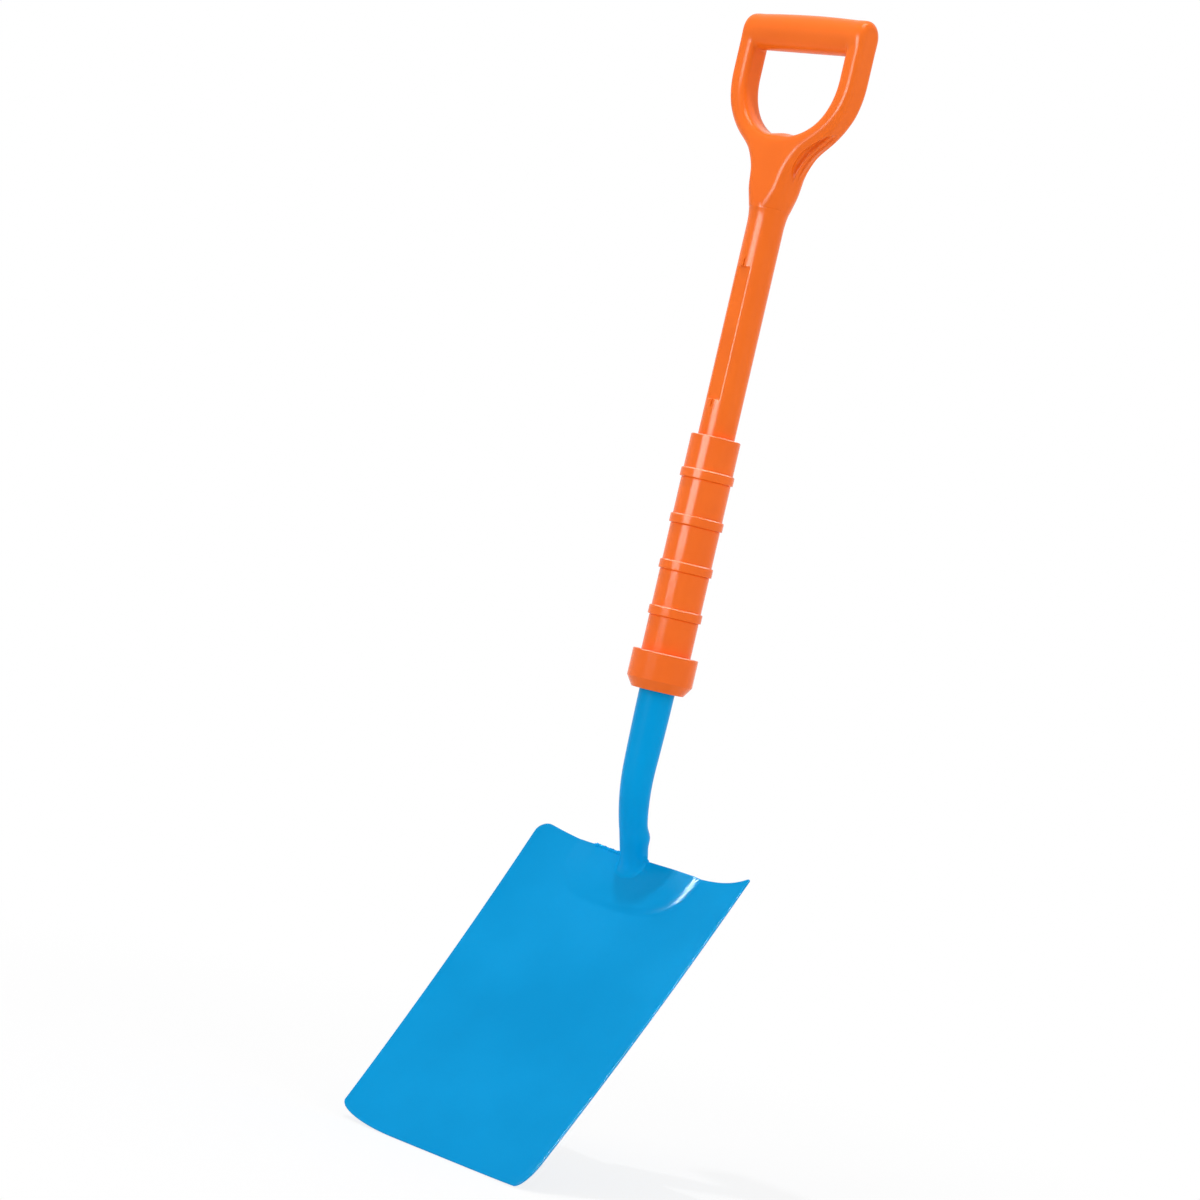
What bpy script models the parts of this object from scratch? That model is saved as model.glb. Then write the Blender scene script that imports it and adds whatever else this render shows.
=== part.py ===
"""Taper mouth shovel with an insulated shaft and a D grip, at its real size.

The shaft stands along +Z with the grip at the top. -Y is the hollow front of the
blade and +X runs across it. The origin is the point under the grip's bar where the
shovel hangs on a rack peg. Heights in the values below are counted up from the foot
of the collar, and one empty carries the whole shovel down to the peg.
"""
import math

import bmesh
import bpy
from mathutils import Vector

# Gap that two pieces keep where one is seated on the other
SEAT = 0.0003

# Core rod of glass fibre, and the plastic tube over it
CORE_RADIUS = 0.0130
CORE_FOOT = 0.0100
CORE_SPIGOT_RADIUS = 0.0090
CORE_SPIGOT_LENGTH = 0.0300
SHAFT_RADIUS = 0.0165
SHAFT_LENGTH = 0.4330
PAD_FOOT = 0.2530
PAD_LENGTH = 0.1340
PAD_DEPTH = 0.0017

# Steel socket tube: straight in the sleeve, cranked below the collar, flat behind the blade
SOCKET_DEPTH = 0.1500
SOCKET_WALL = 0.0022
COLLAR_EXIT_RADIUS = 0.0159
NECK_RADIUS = 0.0125
NECK_TAPER_LENGTH = 0.1240
NECK_STRAIGHT = 0.0660
CRANK_RADIUS = 0.1600
CRANK_LEAN = math.radians(21.0)
LEAN_RUN = 0.0275
FLATTEN_LEAD = 0.0060
FLATTEN_REACH = 0.0300
TANG_HALF_WIDTH = 0.0190
TANG_THICKNESS = 0.0070
TANG_LENGTH = 0.0400
RIVET_RADIUS = 0.0030
RIVET_HEIGHTS = (0.0600, 0.1150)

# Insulating hand sleeve and its grip rings
SLEEVE_RADIUS = 0.0223
SLEEVE_LENGTH = 0.2238
SLEEVE_LIP = 0.0012
RING_COUNT = 4
RING_FIRST = 0.0654
RING_PITCH = 0.0413
RING_HEIGHT = 0.0083
RING_PROUD = 0.0017
RING_EDGE = 0.0006

# Collar that closes the foot of the sleeve
COLLAR_RADIUS = 0.0294
COLLAR_HEIGHT = 0.0337
COLLAR_FLOOR = 0.0040
COLLAR_CHAMFER_RISE = 0.0090
COLLAR_CHAMFER_RUN = 0.0060
COLLAR_EDGE = 0.0010

# Blade, in its own plane: down from the middle of the top edge, and across
SHEET = 0.0020
BLADE_LENGTH = 0.3238
BLADE_HALF_TOP = 0.1272
BLADE_HALF_MOUTH = 0.1173
BLADE_BOW = 0.0034
BLADE_LIFT = math.radians(33.2)
AXIS_PROUD = 0.0026
AXIS_BELOW_EDGE = 0.0020
LEFT_SHOULDER_RISE = 0.0110
LEFT_SHOULDER_POWER = 1.9
RIGHT_SHOULDER_RISE = 0.0135
RIGHT_SHOULDER_POWER = 7.0
LEFT_CORNER_RADIUS = 0.0130
RIGHT_CORNER_RADIUS = 0.0020
LEFT_MOUTH_RUN = 0.0720
LEFT_MOUTH_RISE = 0.0150
RIGHT_MOUTH_RUN = 0.0110
RIGHT_MOUTH_RISE = 0.0260
DISH_AT_TOP = 0.0030
DISH_AT_MOUTH = 0.0020
DISH_POWER = 4.0
FROG_HALF_WIDTH = 0.0740
FROG_LENGTH = 0.0540
FROG_RISE = 0.0042
FROG_FLANK = 0.45
FROG_POWER = 3.0
BEAD_RADIUS = 0.0030
LEFT_EDGE_BEAD = 0.0300
RIGHT_EDGE_BEAD = 0.0090

# D grip, with heights above its own foot
GRIP_FOOT_RADIUS = 0.0180
GRIP_COUNTERBORE = 0.0120
ARM_HALF_DEPTH = 0.0130
ARM_EDGE = 0.0035
WINDOW_HALF_WIDTH = 0.0572
WINDOW_BEND_HEIGHT = 0.1200
WINDOW_FOOT = 0.0630
OUTER_HALF_WIDTH = 0.0693
OUTER_BEND_HEIGHT = 0.1240
OUTER_FOOT = 0.0490
BEND_POWER = 2.20
BAR_UNDERSIDE = 0.1428
BAR_HALF_HEIGHT = 0.0167
BAR_HALF_DEPTH = 0.0143
BAR_END_DROP = 0.0011
BAR_EDGE = 0.0035
YOKE_HEIGHT = 0.0880
YOKE_HALF_WIDTH = 0.0560
YOKE_SQUARE_RUN = 0.0180
YOKE_FLAT_RUN = 0.0490
YOKE_FLANGE = 0.0012
HUMP_HEIGHT = 0.0070
HUMP_HALF_WIDTH = 0.0200
POCKET_DEPTH = 0.0050
POCKET_HALF_WIDTH = 0.0085
POCKET_RIB = 0.0015

# Fineness of the curved faces
TURNED_SIDES = 40
TUBE_SIDES = 32
BLADE_COLUMNS = 30
BLADE_ROWS = 18
BEAD_SIDES = 8

HANG_HEIGHT = SHAFT_LENGTH + BAR_UNDERSIDE
DOWN_BLADE = Vector((0.0, -math.sin(BLADE_LIFT), -math.cos(BLADE_LIFT)))
OUT_OF_BLADE = Vector((0.0, -math.cos(BLADE_LIFT), math.sin(BLADE_LIFT)))
ACROSS = Vector((1.0, 0.0, 0.0))

FINISHES = {
    "orange_plastic": ((0.90, 0.175, 0.018), 0.38, 0.0),
    "blue_paint": ((0.0, 0.30, 0.69), 0.45, 0.0),
    "glass_fibre": ((0.74, 0.70, 0.52), 0.55, 0.0),
    "rivet_steel": ((0.55, 0.56, 0.58), 0.40, 1.0),
}


def clear_scene():
    """Empty the file that the script runs in."""
    for item in list(bpy.data.objects):
        bpy.data.objects.remove(item, do_unlink=True)


def finish_material(finish):
    """The material of one finish, made once."""
    material = bpy.data.materials.get(finish)
    if material is None:
        color, roughness, metallic = FINISHES[finish]
        material = bpy.data.materials.new(finish)
        material.use_nodes = True
        shader = material.node_tree.nodes["Principled BSDF"]
        shader.inputs["Base Color"].default_value = (*color, 1.0)
        shader.inputs["Roughness"].default_value = roughness
        shader.inputs["Metallic"].default_value = metallic
    return material


def hang_frame():
    """The empty that brings the peg point under the bar to the origin."""
    empty = bpy.data.objects.new("hang_frame", None)
    empty.location = (0.0, 0.0, -HANG_HEIGHT)
    bpy.context.scene.collection.objects.link(empty)
    return empty


def piece(name, bm, finish, frame, crease=35.0):
    """An object from a closed bmesh, on the hang frame."""
    bmesh.ops.recalc_face_normals(bm, faces=bm.faces)
    mesh = bpy.data.meshes.new(name)
    bm.to_mesh(mesh)
    bm.free()
    mesh.shade_smooth()
    mesh.set_sharp_from_angle(angle=math.radians(crease))
    mesh.materials.append(finish_material(finish))
    item = bpy.data.objects.new(name, mesh)
    item.parent = frame
    bpy.context.scene.collection.objects.link(item)
    return item


def tool(name, bm, frame):
    """A cutter or a joined form, which isn't a piece of its own."""
    item = piece(name, bm, "rivet_steel", frame)
    item.hide_render = True
    item.display_type = "WIRE"
    return item


def boolean(item, other, operation):
    """A Boolean modifier that stays on the piece."""
    modifier = item.modifiers.new(operation.lower() + "_" + other.name, "BOOLEAN")
    modifier.operation = operation
    modifier.solver = "EXACT"
    modifier.object = other


def smooth_step(value):
    """0 to 1 with level ends."""
    value = min(1.0, max(0.0, value))
    return value * value * (3.0 - 2.0 * value)


def loft(rings, closed_ends=True):
    """A closed body through rings of equal count, capped, or joined end to start."""
    bm = bmesh.new()
    rows = [[bm.verts.new(point) for point in ring] for ring in rings]
    count = len(rows[0])
    pairs = list(zip(rows, rows[1:]))
    if not closed_ends:
        pairs.append((rows[-1], rows[0]))
    for lower, upper in pairs:
        for i in range(count):
            j = (i + 1) % count
            bm.faces.new((lower[i], lower[j], upper[j], upper[i]))
    if closed_ends:
        bm.faces.new(rows[0])
        bm.faces.new(rows[-1])
    return bm


def circle_ring(radius, height, sides=TURNED_SIDES):
    """A level ring round the shaft's axis."""
    turns = (2.0 * math.pi * i / sides for i in range(sides))
    return [Vector((radius * math.cos(a), radius * math.sin(a), height)) for a in turns]


def turned_shell(outline):
    """A hollow turned body from a closed outline of (radius, height)."""
    return loft([circle_ring(radius, height) for radius, height in outline], closed_ends=False)


def turned_solid(outline):
    """A solid turned body from an open outline of (radius, height)."""
    return loft([circle_ring(radius, height) for radius, height in outline])


def cross_pin(radius, half_length, height):
    """A round pin through the shaft, from front to back."""
    sides = 20
    rings = []
    for y in (-half_length, half_length):
        turns = (2.0 * math.pi * i / sides for i in range(sides))
        rings.append([Vector((radius * math.cos(a), y, height + radius * math.sin(a))) for a in turns])
    return loft(rings)


def core_top():
    """Height of the core's shoulder, under the floor of the grip's counterbore."""
    return SHAFT_LENGTH + GRIP_COUNTERBORE - SEAT


def make_shaft_core(frame):
    """Glass fibre rod, with a turned spigot at the top for the grip."""
    outline = [
        (CORE_RADIUS, CORE_FOOT),
        (CORE_RADIUS, core_top()),
        (CORE_SPIGOT_RADIUS, core_top()),
        (CORE_SPIGOT_RADIUS, core_top() + CORE_SPIGOT_LENGTH),
    ]
    core = piece("shaft_core", turned_solid(outline), "glass_fibre", frame)
    for number, height in enumerate(RIVET_HEIGHTS):
        drill = tool(f"core_drill_{number}", cross_pin(RIVET_RADIUS + SEAT, SHAFT_RADIUS, height), frame)
        boolean(core, drill, "DIFFERENCE")


def make_shaft_cover(frame):
    """Plastic tube over the core, from the socket's top to the grip, with its label pad."""
    foot = SOCKET_DEPTH + SEAT
    bore = CORE_RADIUS + SEAT
    outline = [(SHAFT_RADIUS, foot), (SHAFT_RADIUS, core_top()), (bore, core_top()), (bore, foot)]
    cover = piece("shaft_cover", turned_shell(outline), "orange_plastic", frame)
    boolean(cover, tool("pad_cutter", pad_form(), frame), "DIFFERENCE")


def pad_form():
    """Round-ended slab that leaves the flat label pad on the front of the cover."""
    floor = SHAFT_RADIUS - PAD_DEPTH
    half_width = math.sqrt(SHAFT_RADIUS ** 2 - floor ** 2)
    steps = 12
    outline = []
    for centre, start in ((PAD_FOOT + PAD_LENGTH - half_width, 0.0), (PAD_FOOT + half_width, math.pi)):
        for i in range(steps + 1):
            angle = start + math.pi * i / steps
            outline.append((half_width * math.cos(angle), centre + half_width * math.sin(angle)))
    depths = (-floor, -SHAFT_RADIUS - PAD_DEPTH)
    return loft([[Vector((x, y, z)) for x, z in outline] for y in depths])


def neck_radius(height):
    """Outer radius of the socket tube at a height beside the collar or along the neck."""
    if height >= COLLAR_HEIGHT:
        return SHAFT_RADIUS
    if height >= 0.0:
        share = height / COLLAR_HEIGHT
        return COLLAR_EXIT_RADIUS + (SHAFT_RADIUS - COLLAR_EXIT_RADIUS) * share
    share = min(1.0, -height / NECK_TAPER_LENGTH)
    return COLLAR_EXIT_RADIUS + (NECK_RADIUS - COLLAR_EXIT_RADIUS) * share ** 1.6


def crossing_point():
    """Where the tube's axis meets the blade, at the end of the leaning run."""
    bend_drop = CRANK_RADIUS * math.sin(CRANK_LEAN)
    bend_back = CRANK_RADIUS * (1.0 - math.cos(CRANK_LEAN))
    back = bend_back + LEAN_RUN * math.sin(CRANK_LEAN)
    drop = NECK_STRAIGHT + bend_drop + LEAN_RUN * math.cos(CRANK_LEAN)
    return Vector((0.0, back, -drop))


def blade_origin():
    """Middle of the blade's top edge, in the plane through the blade's corners."""
    return crossing_point() - DOWN_BLADE * AXIS_BELOW_EDGE - OUT_OF_BLADE * AXIS_PROUD


def half_width_at(down):
    """Half width of the blade at a distance down from the top edge."""
    share = min(1.0, max(0.0, down / BLADE_LENGTH))
    return BLADE_HALF_TOP + (BLADE_HALF_MOUTH - BLADE_HALF_TOP) * share


def face_height(across, down):
    """How far the middle of the sheet stands forward of a flat blade through its corners."""
    share = min(1.0, max(0.0, down / BLADE_LENGTH))
    dish = DISH_AT_TOP + (DISH_AT_MOUTH - DISH_AT_TOP) * share
    hollow = dish * (1.0 - min(1.0, abs(across) / half_width_at(down)) ** DISH_POWER)
    bow = BLADE_BOW * 4.0 * share * (1.0 - share)
    run = max(0.0, down)
    reach = ((abs(across) / FROG_HALF_WIDTH) ** FROG_POWER
             + (run / FROG_LENGTH) ** FROG_POWER) ** (1.0 / FROG_POWER)
    return FROG_RISE * smooth_step((1.0 - reach) / FROG_FLANK) - hollow - bow


def blade_point(across, down, out):
    """A point in the blade's own directions."""
    return blade_origin() + ACROSS * across + DOWN_BLADE * down + OUT_OF_BLADE * out


def corner_fall(across, half_width, run, rise):
    """How far a round corner draws an edge back at this place across the blade."""
    inside = min(1.0, (abs(across) - (half_width - run)) / run)
    if inside <= 0.0:
        return 0.0
    return rise * (1.0 - math.sqrt(1.0 - inside ** 2))


def top_edge(across):
    """Distance down to the top edge, which rises to a shoulder at each side."""
    share = abs(across) / BLADE_HALF_TOP
    if across < 0.0:
        rise = LEFT_SHOULDER_RISE * share ** LEFT_SHOULDER_POWER
        radius = LEFT_CORNER_RADIUS
    else:
        rise = RIGHT_SHOULDER_RISE * share ** RIGHT_SHOULDER_POWER
        radius = RIGHT_CORNER_RADIUS
    return corner_fall(across, BLADE_HALF_TOP, radius, radius) - rise


def mouth_edge(across):
    """Distance down to the mouth, whose corners are round."""
    if across < 0.0:
        return BLADE_LENGTH - corner_fall(across, BLADE_HALF_MOUTH, LEFT_MOUTH_RUN, LEFT_MOUTH_RISE)
    return BLADE_LENGTH - corner_fall(across, BLADE_HALF_MOUTH, RIGHT_MOUTH_RUN, RIGHT_MOUTH_RISE)


def blade_form(grow):
    """The pressed sheet, thicker all over by the given amount."""
    bm = bmesh.new()
    faces = []
    for out in (SHEET / 2.0 + grow, -SHEET / 2.0 - grow):
        rows = []
        for j in range(BLADE_ROWS + 1):
            fall = (j / BLADE_ROWS) ** 1.3
            row = []
            for i in range(BLADE_COLUMNS + 1):
                share = math.sin(math.pi * (i / BLADE_COLUMNS - 0.5))
                top = top_edge(share * BLADE_HALF_TOP) - grow
                down = top + (mouth_edge(share * BLADE_HALF_MOUTH) + grow - top) * fall
                across = share * (half_width_at(down) + grow)
                row.append(bm.verts.new(blade_point(across, down, face_height(across, down) + out)))
            rows.append(row)
        faces.append(rows)
    front, back = faces
    for rows in faces:
        for low, high in zip(rows, rows[1:]):
            for i in range(BLADE_COLUMNS):
                bm.faces.new((low[i], low[i + 1], high[i + 1], high[i]))
    for j in range(BLADE_ROWS):
        for i in (0, BLADE_COLUMNS):
            bm.faces.new((front[j][i], front[j + 1][i], back[j + 1][i], back[j][i]))
    for i in range(BLADE_COLUMNS):
        for j in (0, BLADE_ROWS):
            bm.faces.new((front[j][i], front[j][i + 1], back[j][i + 1], back[j][i]))
    return bm


def neck_stations():
    """Stations down the round tube: middle, front direction, half width, half thickness."""
    stations = []
    front = Vector((0.0, -1.0, 0.0))
    heights = [SOCKET_DEPTH, COLLAR_HEIGHT, 0.0, -0.33 * NECK_STRAIGHT, -0.66 * NECK_STRAIGHT]
    for height in heights:
        stations.append((Vector((0.0, 0.0, height)), front, neck_radius(height), neck_radius(height)))
    for i in range(8):
        angle = CRANK_LEAN * i / 7
        point = Vector((0.0, CRANK_RADIUS * (1.0 - math.cos(angle)),
                        -NECK_STRAIGHT - CRANK_RADIUS * math.sin(angle)))
        radius = neck_radius(point.z)
        stations.append((point, Vector((0.0, -math.cos(angle), -math.sin(angle))), radius, radius))
    return stations


def under_sheet(down):
    """Distance out to the tang's front face, which follows the back of the sheet."""
    return face_height(0.0, down) - SHEET / 2.0 - 2.0 * SEAT


def lean_rail(side):
    """Corner points (down, out) of the tube's front or back line where it flattens."""
    turn = BLADE_LIFT + CRANK_LEAN
    way = (math.cos(turn), -math.sin(turn))
    shift = NECK_RADIUS * side
    start = (AXIS_BELOW_EDGE - FLATTEN_LEAD * way[0] - shift * way[1],
             AXIS_PROUD - FLATTEN_LEAD * way[1] + shift * way[0])
    drop = 0.0 if side > 0.0 else TANG_THICKNESS
    end = (FLATTEN_REACH, under_sheet(FLATTEN_REACH) - drop)
    reach = (start[1] - end[1]) / -way[1]
    return start, (start[0] + reach * way[0], end[1]), end


def curve_through(corners, share):
    """Point of a quadratic curve drawn by three corner points."""
    first, second, third = corners
    a, b, c = (1.0 - share) ** 2, 2.0 * share * (1.0 - share), share ** 2
    return [a * first[k] + b * second[k] + c * third[k] for k in (0, 1)]


def flat_stations():
    """Stations of the tube's end, which bends and flattens behind the blade."""
    rails = []
    for side in (1.0, -1.0):
        rail = [curve_through(lean_rail(side), i / 8) for i in range(9)]
        for i in range(1, 5):
            down = FLATTEN_REACH + TANG_LENGTH * i / 4
            rail.append((down, under_sheet(down) - (0.0 if side > 0.0 else TANG_THICKNESS)))
        rails.append([blade_point(0.0, down, out) for down, out in rail])
    stations = []
    for i, (front, back) in enumerate(zip(*rails)):
        half_width = NECK_RADIUS + (TANG_HALF_WIDTH - NECK_RADIUS) * smooth_step(i / 8)
        half = (front - back) / 2.0
        stations.append(((front + back) / 2.0, half.normalized(), half_width, half.length))
    return stations


def tube_axis():
    """All stations from the socket's top to the tang's end."""
    return neck_stations() + flat_stations()


def tube_ring(station, grow):
    """Ring of the tube at a station, wider all round by the given amount."""
    middle, front, half_width, half_thickness = station
    ring = []
    for i in range(TUBE_SIDES):
        angle = 2.0 * math.pi * i / TUBE_SIDES
        ring.append(middle + ACROSS * (half_width + grow) * math.cos(angle)
                    + front * (half_thickness + grow) * math.sin(angle))
    return ring


def tube_envelope(grow):
    """The tube's outer form as a solid, for cutting what it passes through."""
    return loft([tube_ring(station, grow) for station in tube_axis()])


def make_socket_tube(frame):
    """Steel socket tube, bored from the top and closed where it flattens."""
    stations = tube_axis()
    outer = [tube_ring(station, 0.0) for station in stations]
    bore = CORE_RADIUS + SEAT
    front = Vector((0.0, -1.0, 0.0))
    inner = [tube_ring((Vector((0.0, 0.0, height)), front, bore, bore), 0.0)
             for height in (SOCKET_DEPTH, CORE_FOOT - SEAT)]
    inner += [tube_ring(station, -SOCKET_WALL) for station in neck_stations()[2:]]
    inner.reverse()
    tube = bmesh.new()
    build_bored_tube(tube, outer, inner)
    item = piece("socket_tube", tube, "blue_paint", frame)
    for number, height in enumerate(RIVET_HEIGHTS):
        drill = tool(f"socket_drill_{number}",
                     cross_pin(RIVET_RADIUS + SEAT, SHAFT_RADIUS + SEAT, height), frame)
        boolean(item, drill, "DIFFERENCE")


def build_bored_tube(bm, outer, inner):
    """Fill a bmesh with an outer skin, a blind bore and the rim between them."""
    rows = [[bm.verts.new(point) for point in ring] for ring in outer]
    bore_rows = [[bm.verts.new(point) for point in ring] for ring in inner]
    count = len(rows[0])
    chains = list(zip(rows, rows[1:])) + list(zip(bore_rows, bore_rows[1:])) + [(bore_rows[-1], rows[0])]
    for lower, upper in chains:
        for i in range(count):
            j = (i + 1) % count
            bm.faces.new((lower[i], lower[j], upper[j], upper[i]))
    bm.faces.new(rows[-1])
    bm.faces.new(bore_rows[0])


def make_rivets(frame):
    """Two flush rivets through the socket and the core, under the sleeve."""
    for name, height in zip(("socket_rivet_lower", "socket_rivet_upper"), RIVET_HEIGHTS):
        piece(name, cross_pin(RIVET_RADIUS, SHAFT_RADIUS - SEAT, height), "rivet_steel", frame)


def make_hand_sleeve(frame):
    """Insulating sleeve with raised rings, standing on the collar's floor."""
    foot = COLLAR_FLOOR + SEAT
    top = foot + SLEEVE_LENGTH
    bore = SHAFT_RADIUS + SEAT
    outline = [(bore, foot), (SLEEVE_RADIUS, foot)]
    for i in range(RING_COUNT):
        low = RING_FIRST + RING_PITCH * i
        crown = SLEEVE_RADIUS + RING_PROUD
        outline += [(SLEEVE_RADIUS, low), (crown, low + RING_EDGE),
                    (crown, low + RING_HEIGHT - RING_EDGE), (SLEEVE_RADIUS, low + RING_HEIGHT)]
    outline += [(SLEEVE_RADIUS, top - SLEEVE_LIP), (SLEEVE_RADIUS - SLEEVE_LIP, top), (bore, top)]
    piece("hand_sleeve", turned_shell(outline), "orange_plastic", frame, crease=30.0)


def make_collar(frame):
    """Collar cup round the sleeve's foot, with a chamfered foot and a floor round the tube."""
    sleeve_bore = SLEEVE_RADIUS + SEAT
    tube_bore = neck_radius(COLLAR_FLOOR) + SEAT
    outline = [
        (tube_bore, 0.0),
        (COLLAR_RADIUS - COLLAR_CHAMFER_RUN, 0.0),
        (COLLAR_RADIUS, COLLAR_CHAMFER_RISE),
        (COLLAR_RADIUS, COLLAR_HEIGHT - COLLAR_EDGE),
        (COLLAR_RADIUS - COLLAR_EDGE, COLLAR_HEIGHT),
        (sleeve_bore, COLLAR_HEIGHT),
        (sleeve_bore, COLLAR_FLOOR),
        (tube_bore, COLLAR_FLOOR),
    ]
    piece("collar", turned_shell(outline), "orange_plastic", frame, crease=30.0)


def bead_form(path, radius):
    """A weld bead: a round section along a path, drawn in at both ends."""
    rings = []
    last = len(path) - 1
    for i, point in enumerate(path):
        way = (path[min(last, i + 1)] - path[max(0, i - 1)]).normalized()
        side = way.cross(OUT_OF_BLADE).normalized()
        lift = side.cross(way).normalized()
        size = radius * (0.65 if i in (0, last) else 1.0)
        turns = (2.0 * math.pi * k / BEAD_SIDES for k in range(BEAD_SIDES))
        rings.append([point + side * size * math.cos(a) + lift * size * math.sin(a) for a in turns])
    return loft(rings)


def blade_coordinates(point):
    """The blade's own directions of a point: across, down and out."""
    offset = point - blade_origin()
    return offset.dot(ACROSS), offset.dot(DOWN_BLADE), offset.dot(OUT_OF_BLADE)


def entry_point(line):
    """Where one line down the tube's skin passes through the blade's front face."""
    gaps = []
    for point in line:
        across, down, out = blade_coordinates(point)
        gaps.append(out - face_height(across, down) - SHEET / 2.0)
    for i in range(len(line) - 1):
        if gaps[i] > 0.0 >= gaps[i + 1]:
            return line[i].lerp(line[i + 1], gaps[i] / (gaps[i] - gaps[i + 1]))
    return line[-1]


def front_seam():
    """Path where the front half of the tube runs into the blade's face."""
    rings = [tube_ring(station, BEAD_RADIUS * 0.4) for station in tube_axis()]
    path = []
    for i in range(TUBE_SIDES // 2 + 1):
        point = entry_point([ring[i] for ring in rings])
        across, down, _ = blade_coordinates(point)
        if down > top_edge(across) + BEAD_RADIUS:
            path.append(point + OUT_OF_BLADE * BEAD_RADIUS * 0.3)
    return path


def edge_seam(side, length):
    """Path of a short bead on the top edge, beside the tube."""
    path = []
    for i in range(6):
        across = side * (NECK_RADIUS + 2.0 * SEAT + length * i / 5)
        path.append(blade_point(across, top_edge(across), face_height(across, top_edge(across))))
    return path


def back_seam(side):
    """Path of the weld behind the blade, down one side of the tang."""
    path = []
    for i in range(6):
        across = side * (TANG_HALF_WIDTH + BEAD_RADIUS * 0.2)
        down = FLATTEN_REACH + TANG_LENGTH * (0.04 + 0.92 * i / 5)
        path.append(blade_point(across, down, under_sheet(down) - TANG_THICKNESS * 0.25))
    return path


def make_blade_and_welds(frame):
    """Blade notched for the tube, and the weld beads that join the two."""
    tube = tool("tube_envelope", tube_envelope(SEAT), frame)
    sheet = tool("sheet_envelope", blade_form(SEAT), frame)
    blade = piece("blade", blade_form(0.0), "blue_paint", frame)
    boolean(blade, tube, "DIFFERENCE")
    seams = {"weld_front": front_seam(),
             "weld_edge_left": edge_seam(-1.0, LEFT_EDGE_BEAD),
             "weld_edge_right": edge_seam(1.0, RIGHT_EDGE_BEAD),
             "weld_back_left": back_seam(-1.0),
             "weld_back_right": back_seam(1.0)}
    for name, path in seams.items():
        bead = piece(name, bead_form(path, BEAD_RADIUS), "blue_paint", frame)
        boolean(bead, tube, "DIFFERENCE")
        boolean(bead, sheet, "DIFFERENCE")


def superellipse(half_width, half_depth, power, sides=40):
    """Points (x, y) of a rounded outline between an ellipse and a rectangle."""
    points = []
    for i in range(sides):
        angle = 2.0 * math.pi * i / sides
        cosine, sine = math.cos(angle), math.sin(angle)
        points.append((math.copysign(half_width * abs(cosine) ** (2.0 / power), cosine),
                       math.copysign(half_depth * abs(sine) ** (2.0 / power), sine)))
    return points


def yoke_station(share):
    """Side height, half width, middle height, half depth and squareness up the yoke."""
    side = YOKE_HEIGHT * share
    square = smooth_step(side / YOKE_SQUARE_RUN)
    flat = smooth_step(side / YOKE_FLAT_RUN)
    swell = smooth_step(share ** 1.4)
    half_width = GRIP_FOOT_RADIUS + YOKE_FLANGE * square
    half_width += (YOKE_HALF_WIDTH - half_width) * swell
    web_middle = (WINDOW_FOOT + OUTER_FOOT) / 2.0
    middle = side * (1.0 - (1.0 - web_middle / YOKE_HEIGHT) * share ** 1.5)
    half_depth = GRIP_FOOT_RADIUS + (ARM_HALF_DEPTH - GRIP_FOOT_RADIUS) * flat
    return side, half_width, middle, half_depth, 2.0 + 3.0 * square


def yoke_form():
    """Yoke that swells from the round foot into the bottom of the D."""
    sides = 40
    steps = 14
    bm = bmesh.new()
    rows = []
    for k in range(steps + 1):
        side, half_width, middle, half_depth, power = yoke_station(k / steps)
        row = []
        for x, y in superellipse(half_width, half_depth, power, sides):
            z = middle + (side - middle) * (x / half_width) ** 2
            row.append(bm.verts.new((x, y, SHAFT_LENGTH + z)))
        rows.append(row)
    for lower, upper in zip(rows, rows[1:]):
        for i in range(sides):
            j = (i + 1) % sides
            bm.faces.new((lower[i], lower[j], upper[j], upper[i]))
    bm.faces.new(rows[0])
    for i in range(sides // 2):
        ring = [i, i + 1, sides - i - 1, (sides - i) % sides]
        bm.faces.new([rows[-1][k] for k in dict.fromkeys(ring)])
    return bm


def bend_point(half_width, bend_height, foot, angle):
    """Point of a D's outline at an angle: 0 at one arm, a half turn at the other."""
    cosine, sine = math.cos(angle), math.sin(angle)
    power = 2.0 / BEND_POWER
    x = math.copysign(half_width * abs(cosine) ** power, cosine)
    return Vector((x, 0.0, SHAFT_LENGTH + bend_height - (bend_height - foot) * abs(sine) ** power))


def arm_section(inner, outer):
    """Rounded rectangle across an arm, from the window's edge to the outer edge."""
    middle = (inner + outer) / 2.0
    reach = (outer - inner) / 2.0
    normal = reach.normalized()
    ring = []
    for corner in range(4):
        sign_n = 1.0 if corner in (0, 3) else -1.0
        sign_y = 1.0 if corner in (0, 1) else -1.0
        for step in range(4):
            angle = math.pi / 2.0 * (corner + step / 3.0)
            n = sign_n * (reach.length - ARM_EDGE) + ARM_EDGE * math.cos(angle)
            y = sign_y * (ARM_HALF_DEPTH - ARM_EDGE) + ARM_EDGE * math.sin(angle)
            ring.append(middle + normal * n + Vector((0.0, y, 0.0)))
    return ring


def arms_form():
    """Both arms and the bottom of the D in one U-shaped sweep."""
    top = SHAFT_LENGTH + BAR_UNDERSIDE + BAR_HALF_HEIGHT
    ends = [arm_section(Vector((side * WINDOW_HALF_WIDTH, 0.0, top)),
                        Vector((side * OUTER_HALF_WIDTH, 0.0, top))) for side in (1.0, -1.0)]
    rings = [ends[0]]
    for i in range(25):
        angle = math.pi * i / 24
        inner = bend_point(WINDOW_HALF_WIDTH, WINDOW_BEND_HEIGHT, WINDOW_FOOT, angle)
        outer = bend_point(OUTER_HALF_WIDTH, OUTER_BEND_HEIGHT, OUTER_FOOT, angle)
        rings.append(arm_section(inner, outer))
    rings.append(ends[1])
    return loft(rings)


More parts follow.
